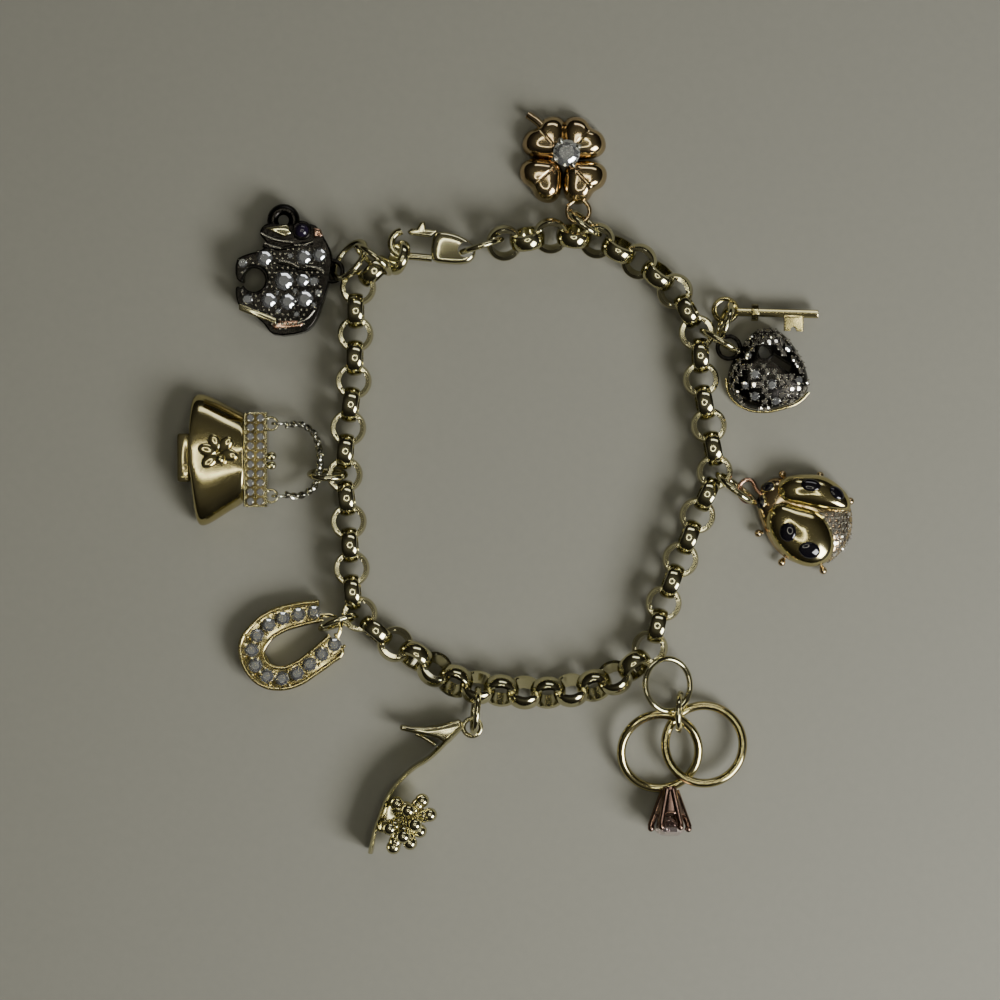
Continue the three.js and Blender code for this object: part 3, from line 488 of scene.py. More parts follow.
def lay_chain():
    points = [Vector((x, y, 0)) for x, y in CHAIN_ROUTE]
    line, run = walk(points)
    length = run[-1]
    gaps = round((length + MEET_GAP) / LINK_PITCH)
    pitch = (length + MEET_GAP) / gaps
    bore = (pitch - LINK_FUSE) / math.cos(math.pi / 10)
    places = []
    for k in range(gaps + 1):
        along = k * pitch - (MEET_GAP if k >= LEFT_LINKS else 0)
        base = roll_at(along / length)
        height = max(rest_height(base, bore), rest_height(base + 90, bore))
        spot, tangent = at_length(line, run, min(along, length - 1e-6))
        roll = math.radians(base + (0 if k % 2 else 90))
        side = Vector((-tangent.y, tangent.x, 0))
        normal = UP * math.cos(roll) + side * math.sin(roll)
        across = normal.cross(tangent)
        place = Matrix((tangent, across, normal)).transposed().to_4x4()
        place.translation = (spot.x, spot.y, height)
        places.append(place)
    end = belcher_link(bore, END_LINK["band"])
    moved(end, Matrix.Translation(END_LINK["at"])
          @ Matrix.Rotation(math.radians(END_LINK["towards"]), 4, "Z")
          @ Matrix.Rotation(math.radians(END_LINK["lean"]), 4, "Y"))
    left = copies(belcher_link(bore, LINK_BAND), places[:LEFT_LINKS])
    finish_piece(joined([left, end]), "chain_links_left_run", PALE_GOLD, ["chain_left"])
    right = copies(belcher_link(bore, LINK_BAND), places[LEFT_LINKS:])
    finish_piece(right, "chain_links_right_run", PALE_GOLD, ["chain_right"])


# Jump rings: round wire, closed, lying and leaning as they carry the charms.
RING_WIRE = 0.8
JUMP_RINGS = [
    ("clasp_jump_ring", (-5.0, 31.75, 3.25), 6.4, 85, 108),
    ("elephant_ring_lower", (-22.7, 29.85, 3.25), 6.6, 121, -37),
    ("elephant_ring_upper", (-19.5, 29.8, 4.25), 6.4, 98, 52),
    ("bag_jump_ring", (-25.65, 1.15, 2.9), 5.6, 77, 89),
    ("horseshoe_jump_ring", (-24.2, -18.65, 2.95), 5.8, 99, 110),
    ("mule_jump_ring", (-5.85, -30.45, 3.75), 6.6, 95, -6),
    ("rings_bail", (21.55, -30.65, 3.0), 5.8, 81, -1.5),
    ("rings_jump_ring", (19.85, -26.95, 4.05), 7.8, 29, 12),
    ("ladybug_jump_ring", (29.05, -0.7, 3.35), 7.0, 80, 53),
    ("padlock_jump_ring", (26.9, 18.95, 3.2), 6.4, 88, 60),
    ("key_jump_ring", (27.45, 21.45, 2.9), 5.7, 97, -19),
    ("clover_jump_ring", (8.8, 34.85, 2.9), 5.8, 104, -128),
]


def close_jump_rings():
    for node, at, outer, lean, towards in JUMP_RINGS:
        ring = torus(node, at, outer, RING_WIRE, lean, towards)
        finish_piece(ring, node + "_wire", PALE_GOLD, [node])


lay_chain()
close_jump_rings()


# Charms: each is shaped about its own middle, face up, from sizes read at 0.135 mm to a pixel.
PIXEL = 0.135


def read_off(middle, *spots):
    return [((u - middle[0]) * PIXEL, (middle[1] - v) * PIXEL) for u, v in spots]


# An outline read off in points, drawn through with a soft curve, so that no corner is left by the reading.
def softened(points, each=3):
    around = [Vector((x, y, 0)) for x, y in points]
    loop = around[-2:] + around + around[:3]
    last = len(loop) - 1
    made = [route_point(loop, (2 + i / each) / last) for i in range(len(around) * each)]
    return [(spot.x, spot.y) for spot in made]


def cad_copy(node):
    source = frame["nodes"][node]
    twin = bpy.data.objects.new(node, source.data.copy())
    bpy.context.collection.objects.link(twin)
    twin.data.transform(Matrix.Translation(-TABLE_SHIFT) @ Matrix.Scale(1000, 4) @ source.matrix_world)
    edit(twin)
    bpy.ops.mesh.remove_doubles(threshold=1e-3)
    bpy.ops.mesh.dissolve_limited(angle_limit=math.radians(1))
    bpy.ops.mesh.select_all(action="SELECT")
    bpy.ops.mesh.normals_make_consistent(inside=False)
    bpy.ops.object.mode_set(mode="OBJECT")
    return twin


# Stones on the skin of a finished form, each with four small beads raised to hold it.
def set_stones(name, surface, spots, material, home, beads_metal, sink=0.1):
    bpy.context.view_layer.update()
    stones, beads = [], []
    for x, y, wide in spots:
        seat = on_skin(surface, x, y, sink * wide)
        if seat is None:
            continue
        stone = brilliant("stone", wide, 8) if wide > 1.7 else pave_stone("stone", wide)
        stones.append(moved(stone, seat))
        for corner in range(4):
            angle = math.pi / 4 + corner * math.pi / 2
            reach = wide * 0.56
            bead = pearl("bead", (0, 0, 0), max(0.13, wide * 0.1), 1.0, 8)
            spot = seat @ Vector((reach * math.cos(angle), reach * math.sin(angle), 0.12 * wide))
            beads.append(moved(bead, Matrix.Translation(spot)))
    finish_piece(joined(stones), name + "_stones", material, smooth=0, home=home)
    finish_piece(joined(beads), name + "_beads", beads_metal, home=home)


# Lobster clasp: the cast body with its hooked arm, and the sprung lever with a thumb lug.
def cast_clasp():
    home = home_at(-11.3, 31.7, -6.5)
    outline = [(-0.56, -2.15), (-0.56, 1.3), (0.1, 2.1), (1.4, 2.15), (3.0, 1.95), (4.8, 1.2), (5.6, 0.3),
               (5.6, -0.9), (4.7, -1.85), (3.0, -2.12), (1.2, -2.15)]
    body = cushion("clasp_plate", outline, [(0.97, 1.32), (1.0, 1.6), (1.0, 2.5), (0.96, 3.0), (0.82, 3.22),
                                            (0.5, 3.3)], (2.4, 0), 2)
    body = carved(body, rod("tail_eye", (4.2, 0, 0), (4.2, 0, 5), 1.05, sides=32))
    arm = wire("hook_arm", [(x, y, 2.3) for x, y in (
        (-0.2, -1.6), (-2.2, -1.62), (-4.26, -1.62), (-5.4, -1.15), (-5.88, 0), (-5.4, 1.15),
        (-4.65, 1.58))], 0.52, 6)
    finish_piece(joined([body, arm]), "clasp_casting", PALE_GOLD, ["clasp_body"], home=home, smooth=55)
    lever = bevelled(cad_copy("clasp_lever"), 0.16, 3, 30)
    finish_piece(lever, "clasp_thumb_lever", PALE_GOLD, ["clasp_lever"], body="clasp_lever")


# Elephant: black rhodium cast body, curled trunk, domed dark eye and large bright stones.
def make_elephant():
    middle = (290.5, 267.5)
    home = home_at(-31.5, 28.45)
    outline = read_off(
        middle, (268, 226), (274, 221), (290, 222), (303, 221), (322, 223), (331, 236), (338, 252),
        (336, 274), (330, 296), (321, 319), (311, 328), (280, 331), (271, 321), (262, 313), (247, 304),
        (243, 293), (244, 283), (254, 289), (264, 290), (272, 284), (274, 275), (270, 266), (260, 263),
        (251, 270), (250, 279), (244, 276), (244, 257), (252, 252), (268, 247), (274, 241), (267, 232))
    outline = softened(outline)
    body = plate("elephant_side", outline, 0.1, 3.3, 0.85, 5)
    curl = torus("trunk_curl", (-0.13, 6.84, 1.9), 4.4, 1.5, 0, 0)
    hollow = read_off(middle, (260.5, 277))[0]
    rim = wire("belly_hollow", [(hollow[0] + 1.8 * math.cos(a), hollow[1] + 1.8 * math.sin(a), 3.05)
                                for a in (math.radians(d) for d in range(-150, 160, 20))], 0.24)
    ridges = [
        wire("brow_ridge", [(x, y, 3.35) for x, y in read_off(middle, (270, 243), (285, 246), (303, 243),
                                                               (320, 240))], 0.28),
        wire("cheek_ridge", [(x, y, 3.35) for x, y in read_off(middle, (284, 259), (295, 262), (307, 266),
                                                                (322, 267))], 0.25),
        wire("ear_ridge", [(x, y, 3.3) for x, y in read_off(middle, (283, 266), (296, 267), (308, 271),
                                                             (326, 272))], 0.22)]
    bail = torus("elephant_bail", (6.4, 0, 2.1), 3.4, 0.6, 0, 0)
    finish_piece(joined([body, curl, rim] + ridges + [bail]), "elephant_casting", BLACK_RHODIUM,
                 ["elephant_body"], home=home)
    eye_at = read_off(middle, (308.5, 228))[0]
    bezel = torus("eye_bezel", (*eye_at, 3.5), 2.6, 0.5, 0, 0)
    finish_piece(bezel, "elephant_eye_bezel", BLACK_RHODIUM, home=home)
    dome = pearl("eye", (*eye_at, 3.35), 1.0, 0.8, 24)
    finish_piece(dome, "elephant_eye_cabochon", SAPPHIRE, ["elephant_eye"], home=home)
    tusk = plate("tusk", read_off(middle, (272, 226), (294, 222), (299, 231), (291, 235)), 3.0, 3.8, 0.25)
    foot = plate("foot", read_off(middle, (246, 300), (284, 315), (283, 321), (246, 307)), 2.4, 3.5, 0.2)
    finish_piece(joined([tusk, foot]), "elephant_tusk_and_foot_rim", PALE_GOLD, home=home)
    blush = plate("cheek", read_off(middle, (319, 225), (327, 226), (330, 234), (320, 236)), 2.8, 3.55, 0.3)
    strap = plate("tail_strap", read_off(middle, (277, 321), (287, 317), (312, 317), (308, 324), (281, 327)),
                  2.6, 3.4, 0.25)
    finish_piece(joined([blush, strap]), "elephant_rose_patches", ROSE_GOLD, home=home)
    sizes = [(271.7, 255.3, 14), (250, 260.4, 9), (310.5, 254.3, 14), (326, 252, 12.5), (291, 277.8, 17),
             (309.5, 277, 12), (320.5, 278, 10), (254.5, 296, 10.5), (276, 297, 14), (294.5, 298.5, 14.5),
             (311.5, 295.5, 15), (297, 253, 6), (325, 290, 7), (302, 288, 6), (284, 290, 5), (303, 311, 6),
             (320, 302, 6), (285, 308, 6)]
    spots = [(*read_off(middle, (u, v))[0], wide * PIXEL * 1.15) for u, v, wide in sizes]
    # Thin raised ridges in lightened metal, laid where the body catches the light: painted highlights.
    lines = [wire("bright_ridge", [(x, y, 3.55) for x, y in read_off(middle, *points)], 0.2) for points in (
        ((268, 231), (278, 236), (290, 239), (300, 240)), ((272, 241), (280, 244), (288, 246)),
        ((301, 243), (311, 242), (320, 239)), ((286, 258), (296, 260), (306, 265)),
        ((313, 264), (322, 265), (330, 268)), ((304, 320), (314, 315), (321, 307)))]
    finish_piece(joined(lines), "elephant_ridge_highlights", GLINT_GREY_RHODIUM, home=home)
    surface = plate("gauge", outline, 0.1, 3.3, 0.85, 5)
    set_stones("elephant", surface, spots, CLEAR_STONE, home, GLINT_GREY_RHODIUM, 0.03)
    # Small grains of lightened metal strewn over the body: painted glints on the cast grain.
    grains = []
    for x, y in packed(outline, 0.72, 0.1):
        if y > 3.4 or min(math.hypot(x - a, y - b) - wide / 2 for a, b, wide in spots) < 0.2:
            continue
        seat = on_skin(surface, x, y)
        if seat is not None:
            grains.append(moved(pearl("grain", (0, 0, 0), 0.27, 0.8, 8), seat))
    finish_piece(joined(grains), "elephant_glint_grains", GLINT_GREY_RHODIUM, home=home)
    bpy.data.objects.remove(surface)


# Handbag: bulging polished body, pave frame, ball closure, flower, and a twisted rope handle.
def make_handbag():
    middle = (220.5, 460)
    home = home_at(-40.4, 3.1)
    outline = read_off(middle, (193, 440), (193, 410), (194, 398), (198, 393.5), (206, 393.5), (217, 398),
                       (231, 406), (245, 412), (248, 416), (248, 440), (248, 475), (248, 499), (245, 504),
                       (232, 511), (217, 521), (208, 526), (202, 526.5), (198, 521), (195, 500), (193, 470))
    body = cushion("bag_side", outline, [(0.99, 0.95, 0.1), (1, 1, 0.8), (1, 0.98, 1.8), (1, 0.91, 2.8),
                                         (0.99, 0.77, 3.7), (0.99, 0.57, 4.4), (0.98, 0.32, 4.85),
                                         (0.98, 0.1, 5.0)], (0, 0), 3)
    foot = block("bag_foot", (-4.55, 0.3, 1.9), (1.7, 6.5, 2.6), 0, 0.35)
    ribs = [block("foot_rib", (-4.6, y, 3.2), (1.4, 0.35, 0.35), 0, 0.1) for y in (-2.3, -1.5, -0.7)]
    # The fold: a wire of darkened gold along the crease, a painted shadow line.
    fold = wire("bag_fold", [(x, y, z) for (x, y), z in zip(
        read_off(middle, (208, 402), (222, 407), (234, 413), (246, 419)), (3.7, 4.0, 3.9, 3.3))], 0.3)
    finish_piece(joined([body, foot] + ribs), "bag_body_polished", YELLOW_GOLD, ["bag_body"],
                 home=home)
    finish_piece(fold, "bag_fold_shadow", SHADE_DARKENED_GOLD, home=home)

    petals = []
    for turn, long in ((50, 2.8), (108, 2.6), (165, 2.8), (222, 2.8), (350, 2.6)):
        petal = pearl("petal", (0, 0, 0), 1.0, 0.42, 20)
        moved(petal, Matrix.Diagonal((long / 2, 0.92, 1, 1)))
        place = (Matrix.Translation((0.3, 0.9, 4.9)) @ Matrix.Rotation(math.radians(turn), 4, "Z")
                 @ Matrix.Rotation(math.radians(-10), 4, "Y") @ Matrix.Translation((1.45, 0, 0.2)))
        petals.append(moved(petal, place))
    petals += [torus("flower_cup", (0.6, 0.1, 5.15), 2.0, 0.4),
               pearl("flower_ball", (0.6, 0.05, 5.35), 0.75, 1, 20)]
    finish_piece(joined(petals), "bag_flower_petals", YELLOW_GOLD, ["bag_flower"], home=home)

    rails = smoothed(bevelled(cad_copy("bag_frame"), 0.18, 2, 30), 1)
    finish_piece(rails, "bag_frame_rails", PALE_GOLD, ["bag_frame"])
    surface = block("gauge", (5.15, 0, 2.5), (2.9, 12.7, 2.8), 0, 0.3)
    column, first, pitch, wide = 0.66, -5.55, 1.235, 1.34
    spots = [(5.15 + side * column, first + pitch * row, wide) for side in (-1, 1) for row in range(10)]
    # The field between the frame stones: darkened gold, painted shade between the stones.
    field = block("pave_field", (5.15, 0, 3.86), (2.5, 12.3, 0.16), 0, 0.05)
    finish_piece(field, "bag_frame_field", SHADE_DARKENED_GOLD, home=home)
    set_stones("bag_frame", surface, spots, CLEAR_STONE, home, PALE_GOLD, 0.02)
    edges = [rod("frame_edge", (5.15 + side * 1.42, -6.25, 3.8), (5.15 + side * 1.42, 6.25, 3.8), 0.17)
             for side in (-1, 1)]
    finish_piece(joined(edges), "bag_frame_edges", PALE_GOLD, home=home)
    bpy.data.objects.remove(surface)
    twist_handle(home)


# The rope: two wires wound round the bend of the handle, with a loop at each end.
def twist_handle(home):
    eye_x, eye_y, level, reach = 7.2, 4.85, 2.5, 7.2
    bend = [Vector(p) for p in (
        (eye_x + 1.9, eye_y - 0.2, level), (eye_x + reach * 0.55, eye_y - 0.1, level),
        (eye_x + reach * 0.8, eye_y * 0.7, level), (eye_x + reach * 0.9, 0, level),
        (eye_x + reach * 0.8, -eye_y * 0.72, level), (eye_x + reach * 0.5, -eye_y, level),
        (eye_x + 1.9, -eye_y + 0.2, level))]
    line, run = walk(bend, 600)
    strands = []
    steps, lay, offset, thick = 130, 2.1, 0.25, 0.26
    for strand in range(2):
        knots = []
        for i in range(steps + 1):
            along = min(run[-1] * i / steps, run[-1] - 1e-6)
            spot, ahead = at_length(line, run, along)
            side = Vector((-ahead.y, ahead.x, 0))
            angle = strand * math.pi + along * 2 * math.pi / lay
            knots.append(spot + (side * math.cos(angle) + UP * math.sin(angle)) * offset)
        strands.append(wire("rope_strand", knots, thick, 2))
    loops = [torus("handle_loop", (eye_x + 0.95, side * eye_y, level), 2.0, 0.45, 90, 90)
             for side in (-1, 1)]
    finish_piece(joined(strands + loops), "bag_handle_rope", WHITE_GOLD, ["bag_handle"], home=home)


# Horseshoe: gold rims with a channel of white stones.
def make_horseshoe():
    middle = (289, 644)
    home = home_at(-30.5, -21.65, -2.5)
    outer = read_off(middle, (314, 599), (287, 604), (263, 613), (246, 628), (237, 643), (238, 660),
                     (246, 676), (260, 687), (277, 690), (297, 685), (316, 672), (330, 661), (341, 649),
                     (334, 641))
    inner = read_off(middle, (325, 634), (306, 652), (291, 663), (279, 667), (268, 664), (262, 654),
                     (266, 643), (279, 632), (297, 625), (318, 619))
    frame_plate = bevelled(cad_copy("horseshoe"), 0.12, 2, 40)
    finish_piece(frame_plate, "horseshoe_frame", YELLOW_GOLD, ["horseshoe"])
    rims = [wire("outer_rim", [(x * 0.97, y * 0.97, 2.1) for x, y in outer], 0.3),
            wire("inner_rim", [(x * 1.04, y * 1.04, 2.1) for x, y in inner], 0.28)]
    finish_piece(joined(rims), "horseshoe_rims", YELLOW_GOLD, home=home)
    path = [Vector((x * 14.0, y * 12.4, 2.0)) for x, y in (
        (0.20, 0.36), (-0.05, 0.30), (-0.22, 0.21), (-0.34, 0.07), (-0.38, -0.10), (-0.32, -0.27),
        (-0.18, -0.37), (0.00, -0.35), (0.16, -0.22), (0.30, -0.08), (0.41, 0.02))]
    line, run = walk(path, 800)
    stones, claws = [], []
    for i in range(13):
        spot, ahead = at_length(line, run, min(run[-1] * i / 12, run[-1] - 1e-6))
        stones.append(put(brilliant("stone", 2.0, 8), (spot.x, spot.y, 2.45)))
        side = Vector((-ahead.y, ahead.x, 0))
        for reach in (-0.95, 0.95):
            tip = spot + side * reach + ahead * 0.9
            claws.append(pearl("claw", (tip.x, tip.y, 2.45), 0.26, 1.2, 10))
    finish_piece(joined(stones), "horseshoe_stones", CLEAR_STONE, smooth=0, home=home)
    finish_piece(joined(claws), "horseshoe_claws", YELLOW_GOLD, home=home)


# Mule slipper on its side: curved sole, heel, eyelet and a tuft of fat ball-ended rods.
def make_mule():
    middle = (423.8, 791)
    home = home_at(-12.85, -40.8, 3)
    line = read_off(middle, (466, 732), (451, 745), (431, 762), (414, 772), (399, 785), (387.5, 799.5),
                    (380, 816), (374, 831), (368, 853))
    sole = wire("sole", [(x, y, 0) for x, y in line], 0.4, 6)
    moved(sole, Matrix.Translation((0, 0, 2.1)) @ Matrix.Diagonal((1, 1, 4.9, 1)))
    heel = plate("heel", read_off(middle, (404, 727), (415, 730), (430, 731), (446, 729), (464, 725),
                                  (468, 734), (450, 750), (441, 743), (431, 740), (418, 737),
                                  (403, 733)), 1.2, 3.1, 0.5, 4)
    spur = wire("heel_back", [(x, y, 1.5) for x, y in read_off(middle, (419, 738), (428, 743),
                                                               (438, 750))], 0.28)
    eyelet = torus("eyelet", (6.96, 7.65, 2.1), 3.0, 0.65)
    vamp = plate("vamp", read_off(middle, (384, 806), (395, 802), (412, 806), (414, 824), (400, 838),
                 (375, 834)), 0.6, 2.2, 0.6, 4)
    heart = Vector((*read_off(middle, (402, 823))[0], 2.2))
    parts = [sole, heel, spur, eyelet, vamp, pearl("tuft_heart", heart, 1.2)]
    ends = ((397, 805, 3.0), (422, 804, 2.6), (429, 818, 3.1), (418, 834, 2.4), (408, 845, 3.0),
            (391, 849, 2.3), (389, 829, 3.7), (408, 812, 4.0), (414, 826, 4.3), (402, 837, 4.2))
    for u, v, level in ends:
        tip = Vector((*read_off(middle, (u, v))[0], level))
        along = (tip - heart).normalized()
        parts.append(rod("tuft_rod", heart, tip, 0.72, 0.8))
        for share, wide in ((0.0, 0.98), (-0.8, 0.94), (-1.6, 0.88)):
            parts.append(pearl("tuft_bead", tip + along * share, wide, 0.9))
    finish_piece(joined(parts), "mule_shoe", PALE_GOLD, ["mule_body"], home=home)


# Two bands and a solitaire with tall tapered prongs.
def make_rings():
    tip = Matrix.Rotation(math.radians(5), 4, "X")
    home = home_at(21.85, -35.45, 9) @ tip
    home = Matrix.Translation((0, 0, 0.55)) @ home
    plain = torus("band", (0, 0, 0), 11.6, 1.2, 0, 0, 96, 16)
    centre = (11.6 - 1.2) / 2
    level = 0.6 + centre * math.sin(math.radians(8.7))
    moved(plain, Matrix.Translation((3.0, 0, level)) @ Matrix.Rotation(math.radians(90), 4, "Z")
          @ Matrix.Rotation(math.radians(8.7), 4, "Y"))
    finish_piece(plain, "plain_band", YELLOW_GOLD, ["plain_ring"], home=home)
    band = torus("solitaire_band", (0, 0, 0), 11.6, 1.2, 0, 0, 96, 16)
    moved(band, Matrix.Translation((-3.0, 0, level)) @ Matrix.Rotation(math.radians(-90), 4, "Z")
          @ Matrix.Rotation(math.radians(8.7), 4, "Y"))
    finish_piece(band, "solitaire_band", YELLOW_GOLD, home=home)
    head = (Matrix.Translation((-3.0 + 0.55, -centre + 0.2, 1.2 * 0.75 + 0.7))
            @ Matrix.Rotation(math.radians(-10), 4, "Z") @ Matrix.Rotation(math.radians(72), 4, "X"))
    parts = [rod("collet", (0, 0, 0), (0, 0, 3.7), 0.9, 2.0, 24), torus("gallery", (0, 0, 3.6), 4.3, 0.5)]
    for i in range(6):
        angle = i * math.pi / 3
        c, s = math.cos(angle), math.sin(angle)
        parts.append(rod("prong", (0.75 * c, 0.75 * s, 0.5), (2.6 * c, 2.6 * s, 5.3), 0.55, 0.42))
        parts.append(pearl("prong_tip", (2.5 * c, 2.5 * s, 5.45), 0.46, 1.2))
    basket = moved(joined(parts), head)
    finish_piece(basket, "solitaire_basket", OXIDISED_ROSE, ["solitaire_ring"], home=home)
    stone = moved(brilliant("solitaire", 4.2), head @ Matrix.Translation((0, 0, 5.6)))
    finish_piece(stone, "solitaire_brilliant", PINK_STONE, ["solitaire_stone"], smooth=0, home=home)


SHELL_LAYERS = [(0.95, 0.1), (1.0, 0.6), (0.99, 1.2), (0.88, 2.0), (0.58, 2.7), (0.2, 2.9)]


# Ladybug: domed body, two polished wing cases, domed spots and eyes, pave abdomen, bead feet.
def make_ladybug():
    middle = (810, 522)
    home = home_at(38.5, -5.4, 2.5)
    skin = read_off(middle, (762, 498), (768, 482), (781, 473), (792, 478), (806, 473), (826, 474),
                    (846, 486), (857, 504), (859, 525), (852, 546), (838, 560), (818, 567), (796, 562),
                    (779, 549), (770, 530), (764, 515))
    base = cushion("ladybug_shell", skin, SHELL_LAYERS, (0, 0), 3)
    steps = read_off(middle, (789.5, 472), (827, 475), (856, 502), (763, 530), (785, 560), (826, 570))
    feet = [pearl("foot_bead", (*spot, 1.0), 0.52, 0.9) for spot in steps]
    legs = [rod("leg", (x * 0.9, y * 0.9, 0.8), (x, y, 1.0), 0.3) for x, y in steps]
    bail = wire("ladybug_bail", [(-5.3, 3.7, 1.3), (-6.16, 4.56, 1.2), (-7.24, 6.16, 1.2),
                                 (-8.64, 5.36, 1.2), (-8.31, 3.62, 1.2), (-6.43, 2.95, 1.2),
                                 (-5.5, 2.5, 1.3)], 0.3)
    finish_piece(joined([base] + feet + legs), "ladybug_shell", BLUSHED_GOLD, ["ladybug_body"], home=home)
    finish_piece(bail, "ladybug_bail", ROSE_GOLD, home=home)

    upper = read_off(middle, (785, 497), (783, 484), (792, 475), (810, 473), (828, 475), (844, 485),
                     (855, 500), (854, 511), (832, 511), (806, 505))
    lower = read_off(middle, (783, 499), (804, 503), (825, 511), (835, 526), (838, 545), (831, 560),
                     (815, 566), (796, 560), (780, 545), (771, 525), (773, 508))
    wing_layers = [(0.97, 1.1), (1.0, 1.6), (1.0, 2.1), (0.94, 2.9), (0.74, 3.6), (0.42, 4.05), (0.12, 4.2)]
    wings = []
    for name, outline, node in (("upper", upper, "ladybug_wing_upper"),
                                ("lower", lower, "ladybug_wing_lower")):
        centre = (sum(p[0] for p in outline) / len(outline), sum(p[1] for p in outline) / len(outline))
        wing = cushion("wing_" + name, softened(outline), wing_layers, centre, 2)
        wings.append(wing.copy())
        wings[-1].data = wing.data.copy()
        bpy.context.collection.objects.link(wings[-1])
        finish_piece(wing, "ladybug_wing_case_" + name, YELLOW_GOLD, [node], home=home, smooth=60)
    bpy.context.view_layer.update()
    spots = (("ladybug_spot_upper_1", (815, 484), (10, 6.5), -12),
             ("ladybug_spot_upper_2", (841, 493), (9, 6), -38),
             ("ladybug_spot_lower_1", (790, 530), (8.5, 9.5), 0),
             ("ladybug_spot_lower_2", (811, 549), (11, 8.5), -18))
    for node, at, radii, turn in spots:
        x, y = read_off(middle, at)[0]
        gauge = wings[0] if "upper" in node else wings[1]
        seat = on_skin(gauge, x, y, 0.12) or Matrix.Translation((x, y, 3.3))
        spot = pearl("spot", (0, 0, 0), 1, 1, 24)
        moved(spot, seat @ Matrix.Rotation(math.radians(turn), 4, "Z")
              @ Matrix.Diagonal((radii[0] * PIXEL, radii[1] * PIXEL, 0.4, 1)))
        finish_piece(spot, node + "_dome", ENAMEL, [node], home=home)
    for wing in wings:
        bpy.data.objects.remove(wing)
    gauge = base_gauge(skin)
    for node, at, turn in (("ladybug_eye_1", (774, 484), 5), ("ladybug_eye_2", (766.5, 499), 80)):
        x, y = read_off(middle, at)[0]
        seat = on_skin(gauge, x, y, 0.1) @ Matrix.Rotation(math.radians(turn), 4, "Z")
        eye = pearl("eye", (0, 0, 0), 1, 1, 24)
        moved(eye, seat @ Matrix.Diagonal((0.95, 0.7, 0.5, 1)))
        rim = torus("eye_rim", (0, 0, 0.02), 2.2, 0.3)
        moved(rim, seat @ Matrix.Diagonal((0.95, 0.7, 1, 1)))
        finish_piece(rim, node + "_rim", YELLOW_GOLD, home=home)
        finish_piece(eye, node + "_dome", ENAMEL, [node], home=home)
    patch = read_off(middle, (816, 513), (833, 512), (855, 511), (858, 528), (851, 546), (837, 560),
                     (830, 563), (835, 548), (834, 533), (826, 520))
    stones = [(x, y, 0.8) for x, y in packed(patch, 0.88)]
    set_stones("ladybug_abdomen", gauge, stones, SMOKE_STONE, home, GLINT_GREY_RHODIUM, 0.0)
    bpy.data.objects.remove(gauge)


# The ladybug's shell again, as a form for the stones and eyes to be set down on.
def base_gauge(skin):
    gauge = cushion("shell_gauge", skin, SHELL_LAYERS, (0, 0), 3)
    bpy.context.view_layer.update()
    return gauge


# Heart padlock: domed pave face, keyhole with a slot, and a gold rim round the back.
def make_padlock():
    middle = (765, 365)
    home = home_at(33.35, 15.45, 2.75)
    outline = read_off(middle, (739, 347), (746, 332), (762, 323), (778, 326), (790, 338), (800, 355),
                       (807, 375), (806, 391), (796, 400), (778, 406), (758, 408), (740, 403), (727, 390),
                       (724, 373), (729, 357))
    layers = [(0.96, 0.1), (1.0, 0.7), (0.97, 1.9), (0.84, 3.0), (0.55, 3.8), (0.25, 4.0)]
    heart = cushion("heart", outline, layers, (0, 0), 3)
    gauge = heart.copy()
    gauge.data = heart.data.copy()
    bpy.context.collection.objects.link(gauge)
    hole = read_off(middle, (762, 350))[0]
    slot = read_off(middle, (788, 368))[0]
    heart = carved(heart, rod("keyhole", (*hole, -1), (*hole, 6), 0.95, sides=32))
    middle_slot = ((hole[0] + slot[0]) / 2, (hole[1] + slot[1]) / 2, 2.5)
    turn = math.degrees(math.atan2(slot[1] - hole[1], slot[0] - hole[0]))
    heart = carved(heart, block("slot", middle_slot, (4.2, 1.15, 9), turn, 0.0))
    bail = torus("padlock_bail", (-0.43 * 11.6, 0.26 * 11.6, 1.2), 3.6, 0.6)
    finish_piece(joined([heart, bail]), "padlock_heart", BLACK_RHODIUM,
                 ["heart_padlock"], home=home, smooth=50)
    rim = wire("heart_rim", [(x, y, 0.7) for x, y in outline[7:14]], 0.2)
    finish_piece(rim, "padlock_rim", YELLOW_GOLD, home=home)
    bpy.context.view_layer.update()
    collar_seat = on_skin(gauge, *hole)
    collar = torus("keyhole_collar", (0, 0, 0), 2.3, 0.3)
    finish_piece(moved(collar, collar_seat), "padlock_keyhole_collar", BLACK_RHODIUM,
                 home=home)
    big = [(767, 382, 11), (771, 399, 10), (795, 379, 9), (751, 371, 11), (750, 393, 10), (786, 347, 8),
           (745, 352, 9), (741, 382, 8)]
    stones = [(*read_off(middle, (u, v))[0], wide * PIXEL) for u, v, wide in big]
    for x, y in packed(outline, 0.92, 0.05):
        near = min(math.hypot(x - a, y - b) - w / 2 for a, b, w in stones[:8])
        along = max(0.0, min(1.0, ((x - hole[0]) * (slot[0] - hole[0]) + (y - hole[1]) * (slot[1] - hole[1]))
                             / ((slot[0] - hole[0]) ** 2 + (slot[1] - hole[1]) ** 2)))
        gap = math.hypot(x - hole[0] - along * (slot[0] - hole[0]),
                         y - hole[1] - along * (slot[1] - hole[1]))
        if near > 0.4 and gap > 1.3 - 0.35 * along:
            stones.append((x, y, 0.86))
    bright = [s for s in stones if s[2] > 1]
    grey = [s for s in stones if s[2] <= 1]
    set_stones("padlock_bright", gauge, bright, CLEAR_STONE, home, GLINT_GREY_RHODIUM, 0.0)
    set_stones("padlock_pave", gauge, grey, SMOKE_STONE, home, GLINT_GREY_RHODIUM, 0.0)
    bpy.data.objects.remove(gauge)


# Key: turned shaft, bow and collar, with a cut bit.
def make_key():
    key = bevelled(cad_copy("key"), 0.1, 2, 35)
    finish_piece(smoothed(key, 1), "padlock_key", YELLOW_GOLD, ["key"])


